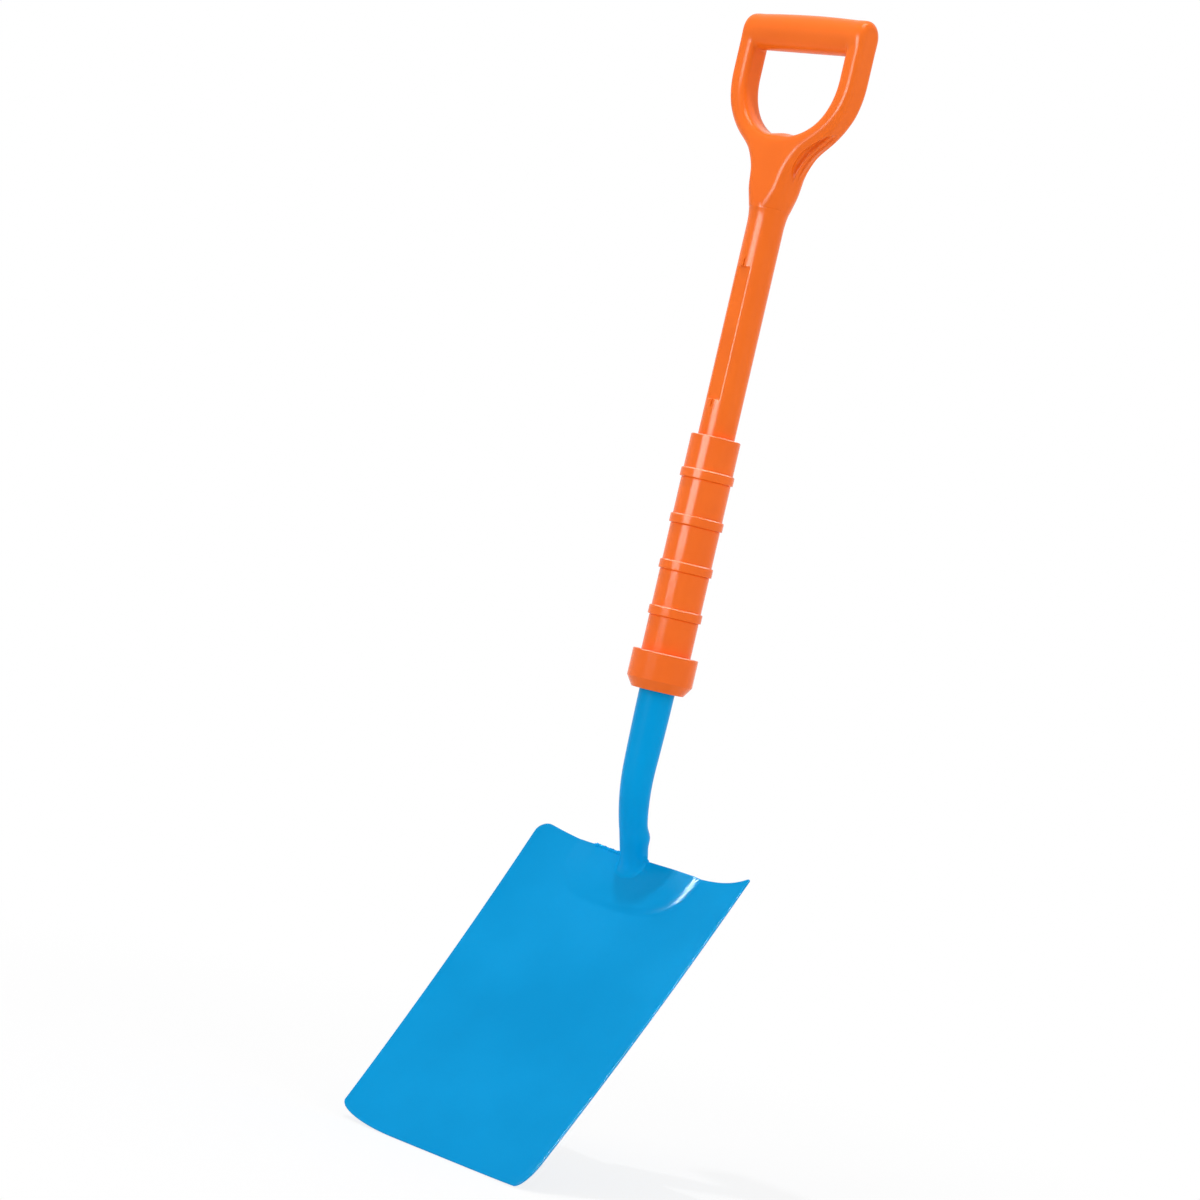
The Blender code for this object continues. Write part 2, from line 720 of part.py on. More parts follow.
def bar_form():
    """Barrel-shaped bar across the top, with rounded ends flush with the arms."""
    reach = OUTER_HALF_WIDTH
    places = [-1.0, -0.99, -0.95] + [-0.9 + 0.15 * i for i in range(13)] + [0.95, 0.99, 1.0]
    rings = []
    for place in places:
        x = reach * place
        rim = reach - abs(x)
        draw = 0.0
        if rim < BAR_EDGE:
            draw = BAR_EDGE - math.sqrt(max(0.0, BAR_EDGE ** 2 - (BAR_EDGE - rim) ** 2))
        height = BAR_HALF_HEIGHT - BAR_END_DROP * place ** 2
        depth = BAR_HALF_DEPTH + (ARM_HALF_DEPTH - BAR_HALF_DEPTH) * place ** 2
        middle = SHAFT_LENGTH + BAR_UNDERSIDE + height
        ring = []
        for i in range(28):
            angle = 2.0 * math.pi * i / 28
            ring.append(Vector((x, (depth - draw) * math.cos(angle),
                                middle + (height - draw) * math.sin(angle))))
        rings.append(ring)
    return loft(rings)


def hump_form():
    """Rounded hump on the bottom of the hand opening."""
    rings = []
    foot = SHAFT_LENGTH + (WINDOW_FOOT + OUTER_FOOT) / 2.0
    rise = HUMP_HEIGHT + (WINDOW_FOOT - OUTER_FOOT) / 2.0
    for k in range(9):
        angle = math.pi / 2.0 * k / 8.5
        ring = []
        for x, y in superellipse(HUMP_HALF_WIDTH * math.cos(angle), ARM_HALF_DEPTH * 0.7 * math.cos(angle),
                                 2.0, 24):
            ring.append(Vector((x, y + ARM_HALF_DEPTH * 0.15, foot + rise * math.sin(angle))))
        rings.append(ring)
    return loft(rings)


def pocket_channel(side, low, high):
    """One channel of the side pocket, between two places across the grip's depth."""
    rings = []
    for k in range(9):
        share = 0.34 + 0.34 * k / 8
        side_height, half_width, _, _, _ = yoke_station(share)
        depth = POCKET_DEPTH * math.sin(math.pi * (0.08 + 0.84 * k / 8))
        inner = half_width - depth
        outer = half_width + POCKET_DEPTH
        ring = [Vector((side * inner, low, SHAFT_LENGTH + side_height)),
                Vector((side * inner, high, SHAFT_LENGTH + side_height)),
                Vector((side * outer, high, SHAFT_LENGTH + side_height)),
                Vector((side * outer, low, SHAFT_LENGTH + side_height))]
        rings.append(ring)
    return loft(rings)


def make_grip(frame):
    """Moulded D grip with its yoke, bored for the core's spigot and the cover."""
    grip = piece("grip", yoke_form(), "orange_plastic", frame)
    for name, form in (("grip_arms", arms_form()), ("grip_bar", bar_form()), ("grip_hump", hump_form())):
        boolean(grip, tool(name, form, frame), "UNION")
    foot = SHAFT_LENGTH - SEAT
    floor = SHAFT_LENGTH + GRIP_COUNTERBORE
    bore_outline = [
        (SHAFT_RADIUS + SEAT, foot - GRIP_COUNTERBORE),
        (SHAFT_RADIUS + SEAT, floor),
        (CORE_SPIGOT_RADIUS + SEAT, floor),
        (CORE_SPIGOT_RADIUS + SEAT, core_top() + CORE_SPIGOT_LENGTH + SEAT),
    ]
    boolean(grip, tool("grip_bore", turned_solid(bore_outline), frame), "DIFFERENCE")
    channel = (2.0 * POCKET_HALF_WIDTH - 2.0 * POCKET_RIB) / 3.0
    for side, label in ((-1.0, "left"), (1.0, "right")):
        for number in range(3):
            low = -POCKET_HALF_WIDTH + number * (channel + POCKET_RIB)
            form = pocket_channel(side, low, low + channel)
            boolean(grip, tool(f"pocket_{label}_{number}", form, frame), "DIFFERENCE")


def main():
    """Build every piece of the shovel."""
    clear_scene()
    frame = hang_frame()
    make_shaft_core(frame)
    make_shaft_cover(frame)
    make_socket_tube(frame)
    make_rivets(frame)
    make_hand_sleeve(frame)
    make_collar(frame)
    make_blade_and_welds(frame)
    make_grip(frame)
    bpy.context.view_layer.update()


main()
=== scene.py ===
"""Looks of the taper mouth shovel: its moulded, painted and welded pieces, lit in a plain studio.

Heights in the sizes below are counted up from the foot of the collar, -Y is the hollow front
of the blade and +X runs across it. The frame's origin is the peg point under the grip's bar,
so every mesh is lowered by PEG_HEIGHT when it is made.
"""
import logging
import math
from dataclasses import dataclass, field
from enum import Enum
from typing import ClassVar

import bpy
import numpy as np
from mathutils import Matrix, Vector

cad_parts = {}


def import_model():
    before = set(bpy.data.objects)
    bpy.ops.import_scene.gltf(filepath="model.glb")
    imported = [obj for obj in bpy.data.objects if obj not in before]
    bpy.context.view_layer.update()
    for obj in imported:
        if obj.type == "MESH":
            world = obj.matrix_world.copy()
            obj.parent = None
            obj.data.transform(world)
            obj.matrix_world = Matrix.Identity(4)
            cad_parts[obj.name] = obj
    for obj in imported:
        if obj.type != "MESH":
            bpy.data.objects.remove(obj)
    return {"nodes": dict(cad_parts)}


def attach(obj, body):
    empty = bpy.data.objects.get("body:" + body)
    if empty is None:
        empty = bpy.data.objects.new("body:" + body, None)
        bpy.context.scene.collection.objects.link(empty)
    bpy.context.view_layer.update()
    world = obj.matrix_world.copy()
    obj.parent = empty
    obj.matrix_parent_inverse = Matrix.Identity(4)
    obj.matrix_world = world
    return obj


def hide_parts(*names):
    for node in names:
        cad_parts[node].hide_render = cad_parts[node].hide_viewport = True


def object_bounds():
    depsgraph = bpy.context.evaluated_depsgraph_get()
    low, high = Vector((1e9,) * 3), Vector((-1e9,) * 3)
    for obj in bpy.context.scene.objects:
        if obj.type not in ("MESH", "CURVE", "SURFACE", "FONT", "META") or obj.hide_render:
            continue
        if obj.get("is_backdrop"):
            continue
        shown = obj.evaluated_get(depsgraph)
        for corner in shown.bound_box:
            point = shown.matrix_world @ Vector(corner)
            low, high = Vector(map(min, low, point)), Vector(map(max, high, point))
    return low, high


LOG = logging.getLogger("shovel")

PEG_HEIGHT = 0.5758
SEAT = 0.0003
BODY = "root"
ACROSS = np.array((1.0, 0.0, 0.0))
WHITE = (1.0, 1.0, 1.0, 1.0)
SMOOTH_DEGREES = 180.0
TINY = 1e-6
LEAST_LENGTH = 1e-12
NEARLY_STRAIGHT = 1.55


class Slot(Enum):
    """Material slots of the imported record."""

    ORANGE = "orange_plastic"
    BLUE = "blue_paint"
    FIBRE = "glass_fibre"
    STEEL = "rivet_steel"


class Side(Enum):
    """The two sides of the shovel, by the sign of X."""

    LEFT = -1.0
    RIGHT = 1.0


# Small mathematics.


def smooth_step(value: np.ndarray) -> np.ndarray:
    """0 to 1 with level ends."""
    held = np.clip(value, 0.0, 1.0)
    return held * held * (3.0 - 2.0 * held)


def joined(first: np.ndarray, second: np.ndarray, reach: float) -> np.ndarray:
    """Distance to two forms joined with a soft fillet that spreads over a reach."""
    share = np.clip(0.5 + 0.5 * (second - first) / reach, 0.0, 1.0)
    return second * (1.0 - share) + first * share - reach * share * (1.0 - share)


def common(first: np.ndarray, second: np.ndarray, reach: float) -> np.ndarray:
    """Distance to what two forms have in common, with a rounded edge."""
    return -joined(-first, -second, reach)


def unit(vectors: np.ndarray) -> np.ndarray:
    """Vectors brought to length 1."""
    length = np.linalg.norm(vectors, axis=-1, keepdims=True)
    return vectors / np.maximum(length, LEAST_LENGTH)


def full_turn(sides: int) -> np.ndarray:
    """Evenly spread angles round a full ring."""
    return 2.0 * np.pi * np.arange(sides) / sides


def bell(value: np.ndarray) -> np.ndarray:
    """1 at zero, falling smoothly to nothing on both sides."""
    return np.exp(-value ** 2)


# Meshes.


@dataclass
class Skin:
    """Points and faces of one piece, on their way to a mesh."""

    points: list[list[float]] = field(default_factory=list)
    faces: list[list[int]] = field(default_factory=list)

    def add_rows(self, rows: np.ndarray, closed_across: bool = False,
                 closed_along: bool = False, flip: bool = False) -> np.ndarray:
        """Add a grid of points and the quads between them.

        Args:
            rows: Points in rows and columns.
            closed_across: Whether the last column meets the first.
            closed_along: Whether the last row meets the first.
            flip: Whether the faces look the other way.

        Returns:
            The point numbers in rows and columns.
        """
        count_rows, count = rows.shape[:2]
        start = len(self.points)
        self.points.extend(rows.reshape(-1, 3).tolist())
        numbers = start + np.arange(count_rows * count).reshape(count_rows, count)
        self.add_quads(numbers, closed_across, closed_along, flip)
        return numbers

    def add_quads(self, numbers: np.ndarray, closed_across: bool = False,
                  closed_along: bool = False, flip: bool = False) -> None:
        """Add quads between the rows and columns of some point numbers.

        Args:
            numbers: Point numbers in rows and columns.
            closed_across: Whether the last column meets the first.
            closed_along: Whether the last row meets the first.
            flip: Whether the faces look the other way.
        """
        if closed_across:
            numbers = np.concatenate([numbers, numbers[:, :1]], axis=1)
        if closed_along:
            numbers = np.concatenate([numbers, numbers[:1]], axis=0)
        quads = np.stack([numbers[:-1, :-1], numbers[:-1, 1:], numbers[1:, 1:], numbers[1:, :-1]], axis=-1)
        if flip:
            quads = quads[..., ::-1]
        self.faces.extend(quads.reshape(-1, 4).tolist())

    def add_cap(self, numbers: np.ndarray, flip: bool = False) -> None:
        """Close a ring with one flat face."""
        ring = [int(number) for number in numbers]
        self.faces.append(ring[::-1] if flip else ring)

    @classmethod
    def over_rings(cls, rings: np.ndarray) -> "Skin":
        """A closed skin over a run of rings, with a flat cap at each end.

        Args:
            rings: Points in rings, from one end to the other.

        Returns:
            The skin.
        """
        skin = cls()
        numbers = skin.add_rows(rings, closed_across=True)
        skin.add_cap(numbers[0], flip=True)
        skin.add_cap(numbers[-1])
        return skin

    def to_object(self, name: str, crease_degrees: float = SMOOTH_DEGREES) -> bpy.types.Object:
        """Make the mesh object, lowered to the frame's origin.

        Args:
            name: The piece's name.
            crease_degrees: Edges with a sharper turn than this stay crisp.

        Returns:
            The new object, linked to the scene.
        """
        mesh = bpy.data.meshes.new(name)
        mesh.from_pydata(self.points, [], self.faces)
        mesh.transform(Matrix.Translation((0.0, 0.0, -PEG_HEIGHT)))
        mesh.validate()
        mesh.shade_smooth()
        if crease_degrees < SMOOTH_DEGREES:
            mesh.set_sharp_from_angle(angle=math.radians(crease_degrees))
        item = bpy.data.objects.new(name, mesh)
        bpy.context.scene.collection.objects.link(item)
        return item


def cut(item: bpy.types.Object, cutter: bpy.types.Object) -> None:
    """Take the cutter's form out of a piece, and drop the cutter.

    Args:
        item: The piece.
        cutter: The solid to take out of it.
    """
    modifier = item.modifiers.new("cut", "BOOLEAN")
    modifier.operation = "DIFFERENCE"
    modifier.solver = "EXACT"
    modifier.object = cutter
    graph = bpy.context.evaluated_depsgraph_get()
    shaped = bpy.data.meshes.new_from_object(item.evaluated_get(graph))
    item.modifiers.clear()
    item.data = shaped
    bpy.data.objects.remove(cutter, do_unlink=True)


def outward(item: bpy.types.Object) -> bpy.types.Object:
    """Turn the faces of a closed mesh outward, if its volume says that they look inward.

    Args:
        item: A piece with a closed mesh.

    Returns:
        The same piece.
    """
    mesh = item.data
    mesh.calc_loop_triangles()
    corners = np.zeros(len(mesh.loop_triangles) * 3, np.int32)
    mesh.loop_triangles.foreach_get("vertices", corners)
    places = np.zeros(len(mesh.vertices) * 3, np.float32)
    mesh.vertices.foreach_get("co", places)
    points = places.reshape(-1, 3)[corners.reshape(-1, 3)].astype(float)
    volume = np.einsum("ij,ij->i", points[:, 0], np.cross(points[:, 1], points[:, 2])).sum()
    if volume < 0.0:
        mesh.flip_normals()
    return item


@dataclass(frozen=True)
class Corner:
    """One corner of a turned outline, with the radius that rounds it."""

    radius: float
    height: float
    rounding: float = 0.0


def rounded_outline(corners: list[Corner], steps: int = 5, rest: float = 0.0001) -> np.ndarray:
    """A closed outline of radius and height, each corner drawn as an arc.

    Args:
        corners: The Corner values in order.
        steps: Points along each rounded corner.
        rest: Short flat run beside each arc, which keeps the walls between the arcs truly flat.

    Returns:
        Pairs of radius and height.
    """
    places = np.array([(corner.radius, corner.height) for corner in corners])
    drawn = []
    for number, corner in enumerate(corners):
        here = places[number]
        back = unit(places[number - 1] - here)
        ahead = unit(places[(number + 1) % len(corners)] - here)
        half = 0.5 * math.acos(float(np.clip(back @ ahead, -1.0, 1.0)))
        if corner.rounding <= 0.0 or half > NEARLY_STRAIGHT:
            drawn.append(here)
            continue
        run = corner.rounding / math.tan(half)
        start, end = here + back * run, here + ahead * run
        drawn.append(start + back * rest)
        for step in range(steps):
            share = step / (steps - 1)
            drawn.append((1.0 - share) ** 2 * start + 2.0 * share * (1.0 - share) * here + share ** 2 * end)
        drawn.append(end + ahead * rest)
    return np.array(drawn)


def turned_rows(outline: np.ndarray, sides: int) -> np.ndarray:
    """Rings of a turned form from pairs of radius and height.

    Args:
        outline: Pairs of radius and height.
        sides: Points round each ring.

    Returns:
        Points in rings.
    """
    turns = full_turn(sides)
    rings = np.empty((len(outline), sides, 3))
    rings[..., 0] = outline[:, :1] * np.cos(turns)
    rings[..., 1] = outline[:, :1] * np.sin(turns)
    rings[..., 2] = outline[:, 1:2]
    return rings


def run_of_cells(axes: tuple, counts: tuple, starts: tuple) -> tuple:
    """An index that takes, along each of some axes, so many cells from a start.

    Args:
        axes: The axes that are narrowed.
        counts: How many cells along each of them.
        starts: The first cell along each of them.

    Returns:
        The index.
    """
    place = [slice(None)] * 3
    for axis, count, start in zip(axes, counts, starts):
        place[axis] = slice(start, start + count)
    return tuple(place)


def surface_net(values: np.ndarray, low: np.ndarray, step: np.ndarray) -> tuple[np.ndarray, np.ndarray]:
    """Points and quads where a grid of distances passes through nothing.

    Args:
        values: Distances on a regular grid, negative inside the form.
        low: The grid's lowest corner.
        step: The grid's spacing along each axis.

    Returns:
        An array of points and an array of quads.
    """
    cells = tuple(count - 1 for count in values.shape)
    total = np.zeros(cells + (3,))
    crossings = np.zeros(cells)
    edges = []
    for axis in range(3):
        first, second = (axis + 1) % 3, (axis + 2) % 3
        near = np.take(values, range(values.shape[axis] - 1), axis)
        far = np.take(values, range(1, values.shape[axis]), axis)
        crossed = (near < 0.0) != (far < 0.0)
        share = np.where(crossed, near / np.where(crossed, near - far, 1.0), 0.0)
        edges.append((crossed, near < 0.0))
        for starts in ((0, 0), (0, 1), (1, 0), (1, 1)):
            place = run_of_cells((first, second), (cells[first], cells[second]), starts)
            here = crossed[place]
            total[..., axis] += share[place]
            total[..., first] += here * starts[0]
            total[..., second] += here * starts[1]
            crossings += here
    used = crossings > 0
    numbers = np.full(cells, -1)
    numbers[used] = np.arange(int(used.sum()))
    places = np.argwhere(used) + total[used] / crossings[used][:, None]
    quads = [net_quads(numbers, axis, *edges[axis]) for axis in range(3)]
    return low + places * step, np.concatenate(quads)


def net_quads(numbers: np.ndarray, axis: int, crossed: np.ndarray, leaving: np.ndarray) -> np.ndarray:
    """Quads round the crossed grid lines of one axis.

    Args:
        numbers: Point number of each cell, or -1.
        axis: The axis of the grid lines.
        crossed: Which grid lines pass through the surface.
        leaving: Which of them start inside the form.

    Returns:
        An array of quads.
    """
    first, second = (axis + 1) % 3, (axis + 2) % 3
    counts = (numbers.shape[first] - 1, numbers.shape[second] - 1)
    inner = run_of_cells((first, second), counts, (1, 1))
    hit, out = crossed[inner], leaving[inner]
    around = ((0, 0), (1, 0), (1, 1), (0, 1))
    quads = np.stack([numbers[run_of_cells((first, second), counts, starts)] for starts in around], axis=-1)
    return np.concatenate([quads[hit & out], quads[hit & ~out][:, ::-1]])


# Finishes.


class NodePen:
    """Draws the node tree of a material or of the world."""

    def __init__(self, holder: bpy.types.ID) -> None:
        """Start with an empty tree.

        Args:
            holder: The material or the world that the tree belongs to.
        """
        holder.use_nodes = True
        self.tree = holder.node_tree
        self.tree.nodes.clear()

    def add(self, kind: str, **values: object) -> bpy.types.Node:
        """Add a node and set its plain properties or input sockets.

        Args:
            kind: Blender's name of the node type.
            **values: Properties, or inputs written with underscores for spaces.

        Returns:
            The new node.
        """
        node = self.tree.nodes.new(kind)
        for key, value in values.items():
            socket = key.replace("_", " ")
            if socket in node.inputs:
                node.inputs[socket].default_value = value
            else:
                setattr(node, key, value)
        return node

    def link(self, source: bpy.types.Node, output: str | int, target: bpy.types.Node,
             socket: str | int) -> None:
        """Join an output to an input by their names or numbers."""
        self.tree.links.new(source.outputs[output], target.inputs[socket])

    def blend(self, share: bpy.types.Node, first: bpy.types.Node, second: bpy.types.Node,
              output: str) -> None:
        """Send a mix of two shaders to an output.

        Args:
            share: The node that gives the second shader's share.
            first: The shader where the share is 0.
            second: The shader where the share is 1.
            output: Blender's name of the output node's type.
        """
        mix = self.add("ShaderNodeMixShader")
        for number, source in enumerate((share, first, second)):
            self.link(source, 0, mix, number)
        self.link(mix, 0, self.add(output), 0)


@dataclass(frozen=True)
class Pattern:
    """A noise over a piece: its scale per metre, its detail and its stretch along each axis."""

    scale: float
    detail: float = 3.0
    roughness: float = 0.5
    stretch: tuple = (1.0, 1.0, 1.0)


class FinishPen(NodePen):
    """Draws the node tree of one finish of the shovel."""

    NOISE_MIDDLE: ClassVar[tuple] = (0.3, 0.7)
    SHADE_ENDS: ClassVar[tuple] = (0.32, 0.68)

    def __init__(self, name: str) -> None:
        """Start a material with only its shader and output.

        Args:
            name: The material's name.
        """
        self.material = bpy.data.materials.new(name)
        super().__init__(self.material)
        self.shader = self.add("ShaderNodeBsdfPrincipled")
        self.link(self.shader, "BSDF", self.add("ShaderNodeOutputMaterial"), "Surface")
        self.drawn = {}

    def noise(self, pattern: Pattern) -> bpy.types.Node:
        """The noise texture of a pattern, laid in the object's own coordinates.

        Args:
            pattern: The pattern, drawn once however often it is used.

        Returns:
            The texture's node.
        """
        if pattern not in self.drawn:
            coordinates = self.add("ShaderNodeTexCoord")
            mapping = self.add("ShaderNodeMapping", Scale=pattern.stretch)
            self.link(coordinates, "Object", mapping, "Vector")
            node = self.add("ShaderNodeTexNoise", Scale=pattern.scale, Detail=pattern.detail,
                            Roughness=pattern.roughness)
            self.link(mapping, "Vector", node, "Vector")
            self.drawn[pattern] = node
        return self.drawn[pattern]

    def gloss(self, source: bpy.types.Node, low: float, high: float) -> None:
        """Spread the middle of a noise over a range of roughness.

        Args:
            source: The noise's node.
            low: Roughness at the noise's low end.
            high: Roughness at its high end.
        """
        node = self.add("ShaderNodeMapRange", From_Min=self.NOISE_MIDDLE[0], From_Max=self.NOISE_MIDDLE[1],
                        To_Min=low, To_Max=high)
        self.link(source, "Fac", node, "Value")
        self.link(node, "Result", self.shader, "Roughness")

    def tint(self, source: bpy.types.Node, dark: tuple, light: tuple) -> None:
        """Colour the surface between two shades by a noise.

        Args:
            source: The noise's node.
            dark: Shade at the noise's low end.
            light: Shade at its high end.
        """
        ramp = self.add("ShaderNodeValToRGB")
        for element, place, shade in zip(ramp.color_ramp.elements, self.SHADE_ENDS, (dark, light)):
            element.position = place
            element.color = (*shade, 1.0)
        self.link(source, "Fac", ramp, "Fac")
        self.link(ramp, "Color", self.shader, "Base Color")

    def bump(self, layers: list[tuple[bpy.types.Node, float]]) -> None:
        """Raise the surface by several textures.

        Args:
            layers: Texture nodes, each with the height of its relief in metres.
        """
        before = None
        for source, height in layers:
            node = self.add("ShaderNodeBump", Strength=1.0, Distance=height)
            self.link(source, "Fac", node, "Height")
            if before is not None:
                self.link(before, "Normal", node, "Normal")
            before = node
        self.link(before, "Normal", self.shader, "Normal")


@dataclass(frozen=True)
class Finish:
    """A surface of two shades with a range of roughness and a relief of (pattern, height) layers."""

    name: str
    light: tuple
    dark: tuple
    roughness: tuple
    shade: Pattern
    flow: Pattern
    relief: tuple
    specular: float = 0.5
    metallic: float = 0.0

    def material(self) -> bpy.types.Material:
        """The finish as a node material.

        Returns:
            The new material.
        """
        pen = FinishPen(self.name)
        pen.tint(pen.noise(self.shade), self.dark, self.light)
        pen.gloss(pen.noise(self.flow), *self.roughness)
        pen.bump([(pen.noise(pattern), height) for pattern, height in self.relief])
        pen.shader.inputs["Specular IOR Level"].default_value = self.specular
        pen.shader.inputs["Metallic"].default_value = self.metallic
        return pen.material


@dataclass(frozen=True)
class MouldedPlastic(Finish):
    """Orange insulating plastic: faint clouds, dents and a fine mould grain, flow marks in its gloss."""

    name: str = "moulded_orange"
    light: tuple = (0.86, 0.156, 0.012)
    dark: tuple = (0.82, 0.141, 0.010)
    roughness: tuple = (0.17, 0.23)
    shade: Pattern = Pattern(18.0)
    flow: Pattern = Pattern(55.0, 4.0, 0.55, (1.0, 1.0, 0.18))
    relief: tuple = ((Pattern(70.0, 2.0), 0.00003), (Pattern(1500.0, 2.0, 0.6), 0.00003))
    specular: float = 0.15


@dataclass(frozen=True)
class SprayedPaint(Finish):
    """Blue gloss paint on steel: an even colour, soft waves of the spray and a few dust nibs."""

    name: str = "sprayed_blue"
    light: tuple = (0.0, 0.276, 0.597)
    dark: tuple = (0.0, 0.253, 0.554)
    roughness: tuple = (0.16, 0.26)
    shade: Pattern = Pattern(11.0)
    flow: Pattern = Pattern(11.0)
    relief: tuple = ((Pattern(240.0, 2.0, 0.4), 0.00005), (Pattern(1300.0, 1.0, 0.3), 0.00003))
    specular: float = 0.04


@dataclass(frozen=True)
class PultrudedFibre(Finish):
    """Pale glass fibre rod with its strands along the shaft."""

    name: str = "pultruded_fibre"
    light: tuple = (0.80, 0.76, 0.58)
    dark: tuple = (0.60, 0.55, 0.36)
    roughness: tuple = (0.45, 0.6)
    shade: Pattern = Pattern(1400.0, 4.0, 0.6, (1.0, 1.0, 0.02))
    flow: Pattern = Pattern(1400.0, 4.0, 0.6, (1.0, 1.0, 0.02))
    relief: tuple = ((Pattern(1400.0, 4.0, 0.6, (1.0, 1.0, 0.02)), 0.00008),)


@dataclass(frozen=True)
class DrawnSteel(Finish):
    """Bare drawn steel of the rivets, with fine turning marks."""

    name: str = "drawn_steel"
    light: tuple = (0.62, 0.63, 0.65)
    dark: tuple = (0.46, 0.47, 0.49)
    roughness: tuple = (0.3, 0.45)
    shade: Pattern = Pattern(2200.0, 3.0, 0.6, (1.0, 0.1, 1.0))
    flow: Pattern = Pattern(2200.0, 3.0, 0.6, (1.0, 0.1, 1.0))
    relief: tuple = ((Pattern(2200.0, 3.0, 0.6, (1.0, 0.1, 1.0)), 0.00002),)
    metallic: float = 1.0


@dataclass(frozen=True)
class Palette:
    """The finished materials, made once."""

    plastic: bpy.types.Material
    grip_plastic: bpy.types.Material
    sleeve_plastic: bpy.types.Material
    paint: bpy.types.Material
    neck_paint_lit: bpy.types.Material
    weld_paint_lit: bpy.types.Material
    fibre: bpy.types.Material
    steel: bpy.types.Material

    @classmethod
    def mixed(cls) -> "Palette":
        """Make every finish.

        Returns:
            The palette.
        """
        paint = SprayedPaint()
        weld_lumps = (Pattern(scale=420.0, roughness=0.6), 0.0002)
        finishes = (
            MouldedPlastic(),
            MouldedPlastic("grip_orange", roughness=(0.21, 0.27)),
            MouldedPlastic("sleeve_orange", light=(0.86, 0.148, 0.013), dark=(0.82, 0.134, 0.011),
                           roughness=(0.11, 0.16), specular=0.16),
            paint,
            # The neck's paint is a brighter copy of the blade's blue. The extra lightness is painted light
            # that lifts the tube, whose sides turn away from the lamps.
            SprayedPaint("sprayed_neck_lit", light=(0.0, 0.311, 0.672), dark=(0.0, 0.288, 0.626)),
            # The welds' paint is a paler copy of the blade's blue. The extra lightness is painted light that
            # lifts the front fillet in its shaded corner under the tube.
            SprayedPaint("sprayed_weld_lit", light=(0.0, 0.300, 0.648), dark=(0.0, 0.276, 0.600),
                         roughness=(0.66, 0.80), relief=(*paint.relief, weld_lumps), specular=0.01),
            PultrudedFibre(),
            DrawnSteel(),
        )
        return cls(*(finish.material() for finish in finishes))


def dress(item: bpy.types.Object, material: bpy.types.Material) -> None:
    """Give a piece its one material."""
    item.data.materials.clear()
    item.data.materials.append(material)


def settle(item: bpy.types.Object, material: bpy.types.Material, slot: Slot,
           *nodes: str) -> bpy.types.Object:
    """Dress a piece and put it on the frame in place of its CAD nodes.

    Args:
        item: The finished piece.
        material: Its material.
        slot: The record's slot of that finish; not used.
        *nodes: The CAD nodes that it stands for.

    Returns:
        The piece.
    """
    outward(item)
    dress(item, material)
    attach(item, BODY)
    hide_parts(*nodes)
    LOG.info("%s: %d faces, for %s", item.name, len(item.data.polygons), ", ".join(nodes))
    return item


# Shaft, sleeve and collar.


@dataclass(frozen=True)
class ShaftCover:
    """Plastic tube of the shaft, with the flat label pad on its front left bare."""

    radius: float = 0.0165
    bore: float = 0.0133
    foot: float = 0.1503
    top: float = 0.4370
    pad_foot: float = 0.2530
    pad_length: float = 0.1340
    pad_depth: float = 0.0017
    pad_wall: float = 0.0006
    flare: float = 0.0015
    flare_run: float = 0.0180
    flare_top: float = 0.4330
    flare_power: float = 2.5
    front_share: float = 0.5
    sides: int = 160
    step: float = 0.0009
    crease: float = 40.0

    def pad_share(self, across: np.ndarray, height: np.ndarray) -> np.ndarray:
        """How far into the round-ended pad a point of the front lies, 0 outside to 1 inside.

        Args:
            across: Places across the shaft.
            height: Heights above the collar's foot.

        Returns:
            The share at each place.
        """
        floor = self.radius - self.pad_depth
        half_width = math.sqrt(self.radius ** 2 - floor ** 2)
        low = self.pad_foot + half_width
        high = self.pad_foot + self.pad_length - half_width
        past_end = height - np.clip(height, low, high)
        distance = np.hypot(across, past_end) - half_width
        distance = np.where(past_end == 0.0, -half_width, distance)
        return smooth_step(0.5 - distance / self.pad_wall)

    def outer_rows(self) -> np.ndarray:
        """Rings of the outside, flattened on the pad.

        Returns:
            Points in rings, from the foot up.
        """
        heights = np.append(np.arange(self.foot, self.top, self.step), self.top)
        turns = full_turn(self.sides)
        rings = turned_rows(np.stack([np.ones(len(heights)), heights], axis=1), self.sides)
        facing = -np.sin(turns)
        floor = (self.radius - self.pad_depth) / np.maximum(facing, self.front_share)
        flat = np.minimum(floor, self.radius)[None, :]
        share = self.pad_share(rings[..., 0], rings[..., 2]) * (facing > self.front_share)[None, :]
        spread = np.clip(1.0 + (heights - self.flare_top) / self.flare_run, 0.0, 1.0) ** self.flare_power
        size = self.radius + (flat - self.radius) * share + self.flare * spread[:, None]
        rings[..., 0] = size * np.cos(turns)
        rings[..., 1] = size * np.sin(turns)
        return rings

    def build(self, palette: Palette) -> None:
        """Make the cover and dress it.

        Args:
            palette: The finished materials.
        """
        skin = Skin()
        outer = skin.add_rows(self.outer_rows(), closed_across=True)
        bore = np.array([(self.bore, self.top), (self.bore, self.foot)])
        inner = skin.add_rows(turned_rows(bore, self.sides), closed_across=True)
        skin.add_quads(np.stack([outer[-1], inner[0]]), closed_across=True)
        skin.add_quads(np.stack([inner[1], outer[0]]), closed_across=True)
        item = skin.to_object("shaft_cover_tube", self.crease)
        settle(item, palette.plastic, Slot.ORANGE, "shaft_cover")


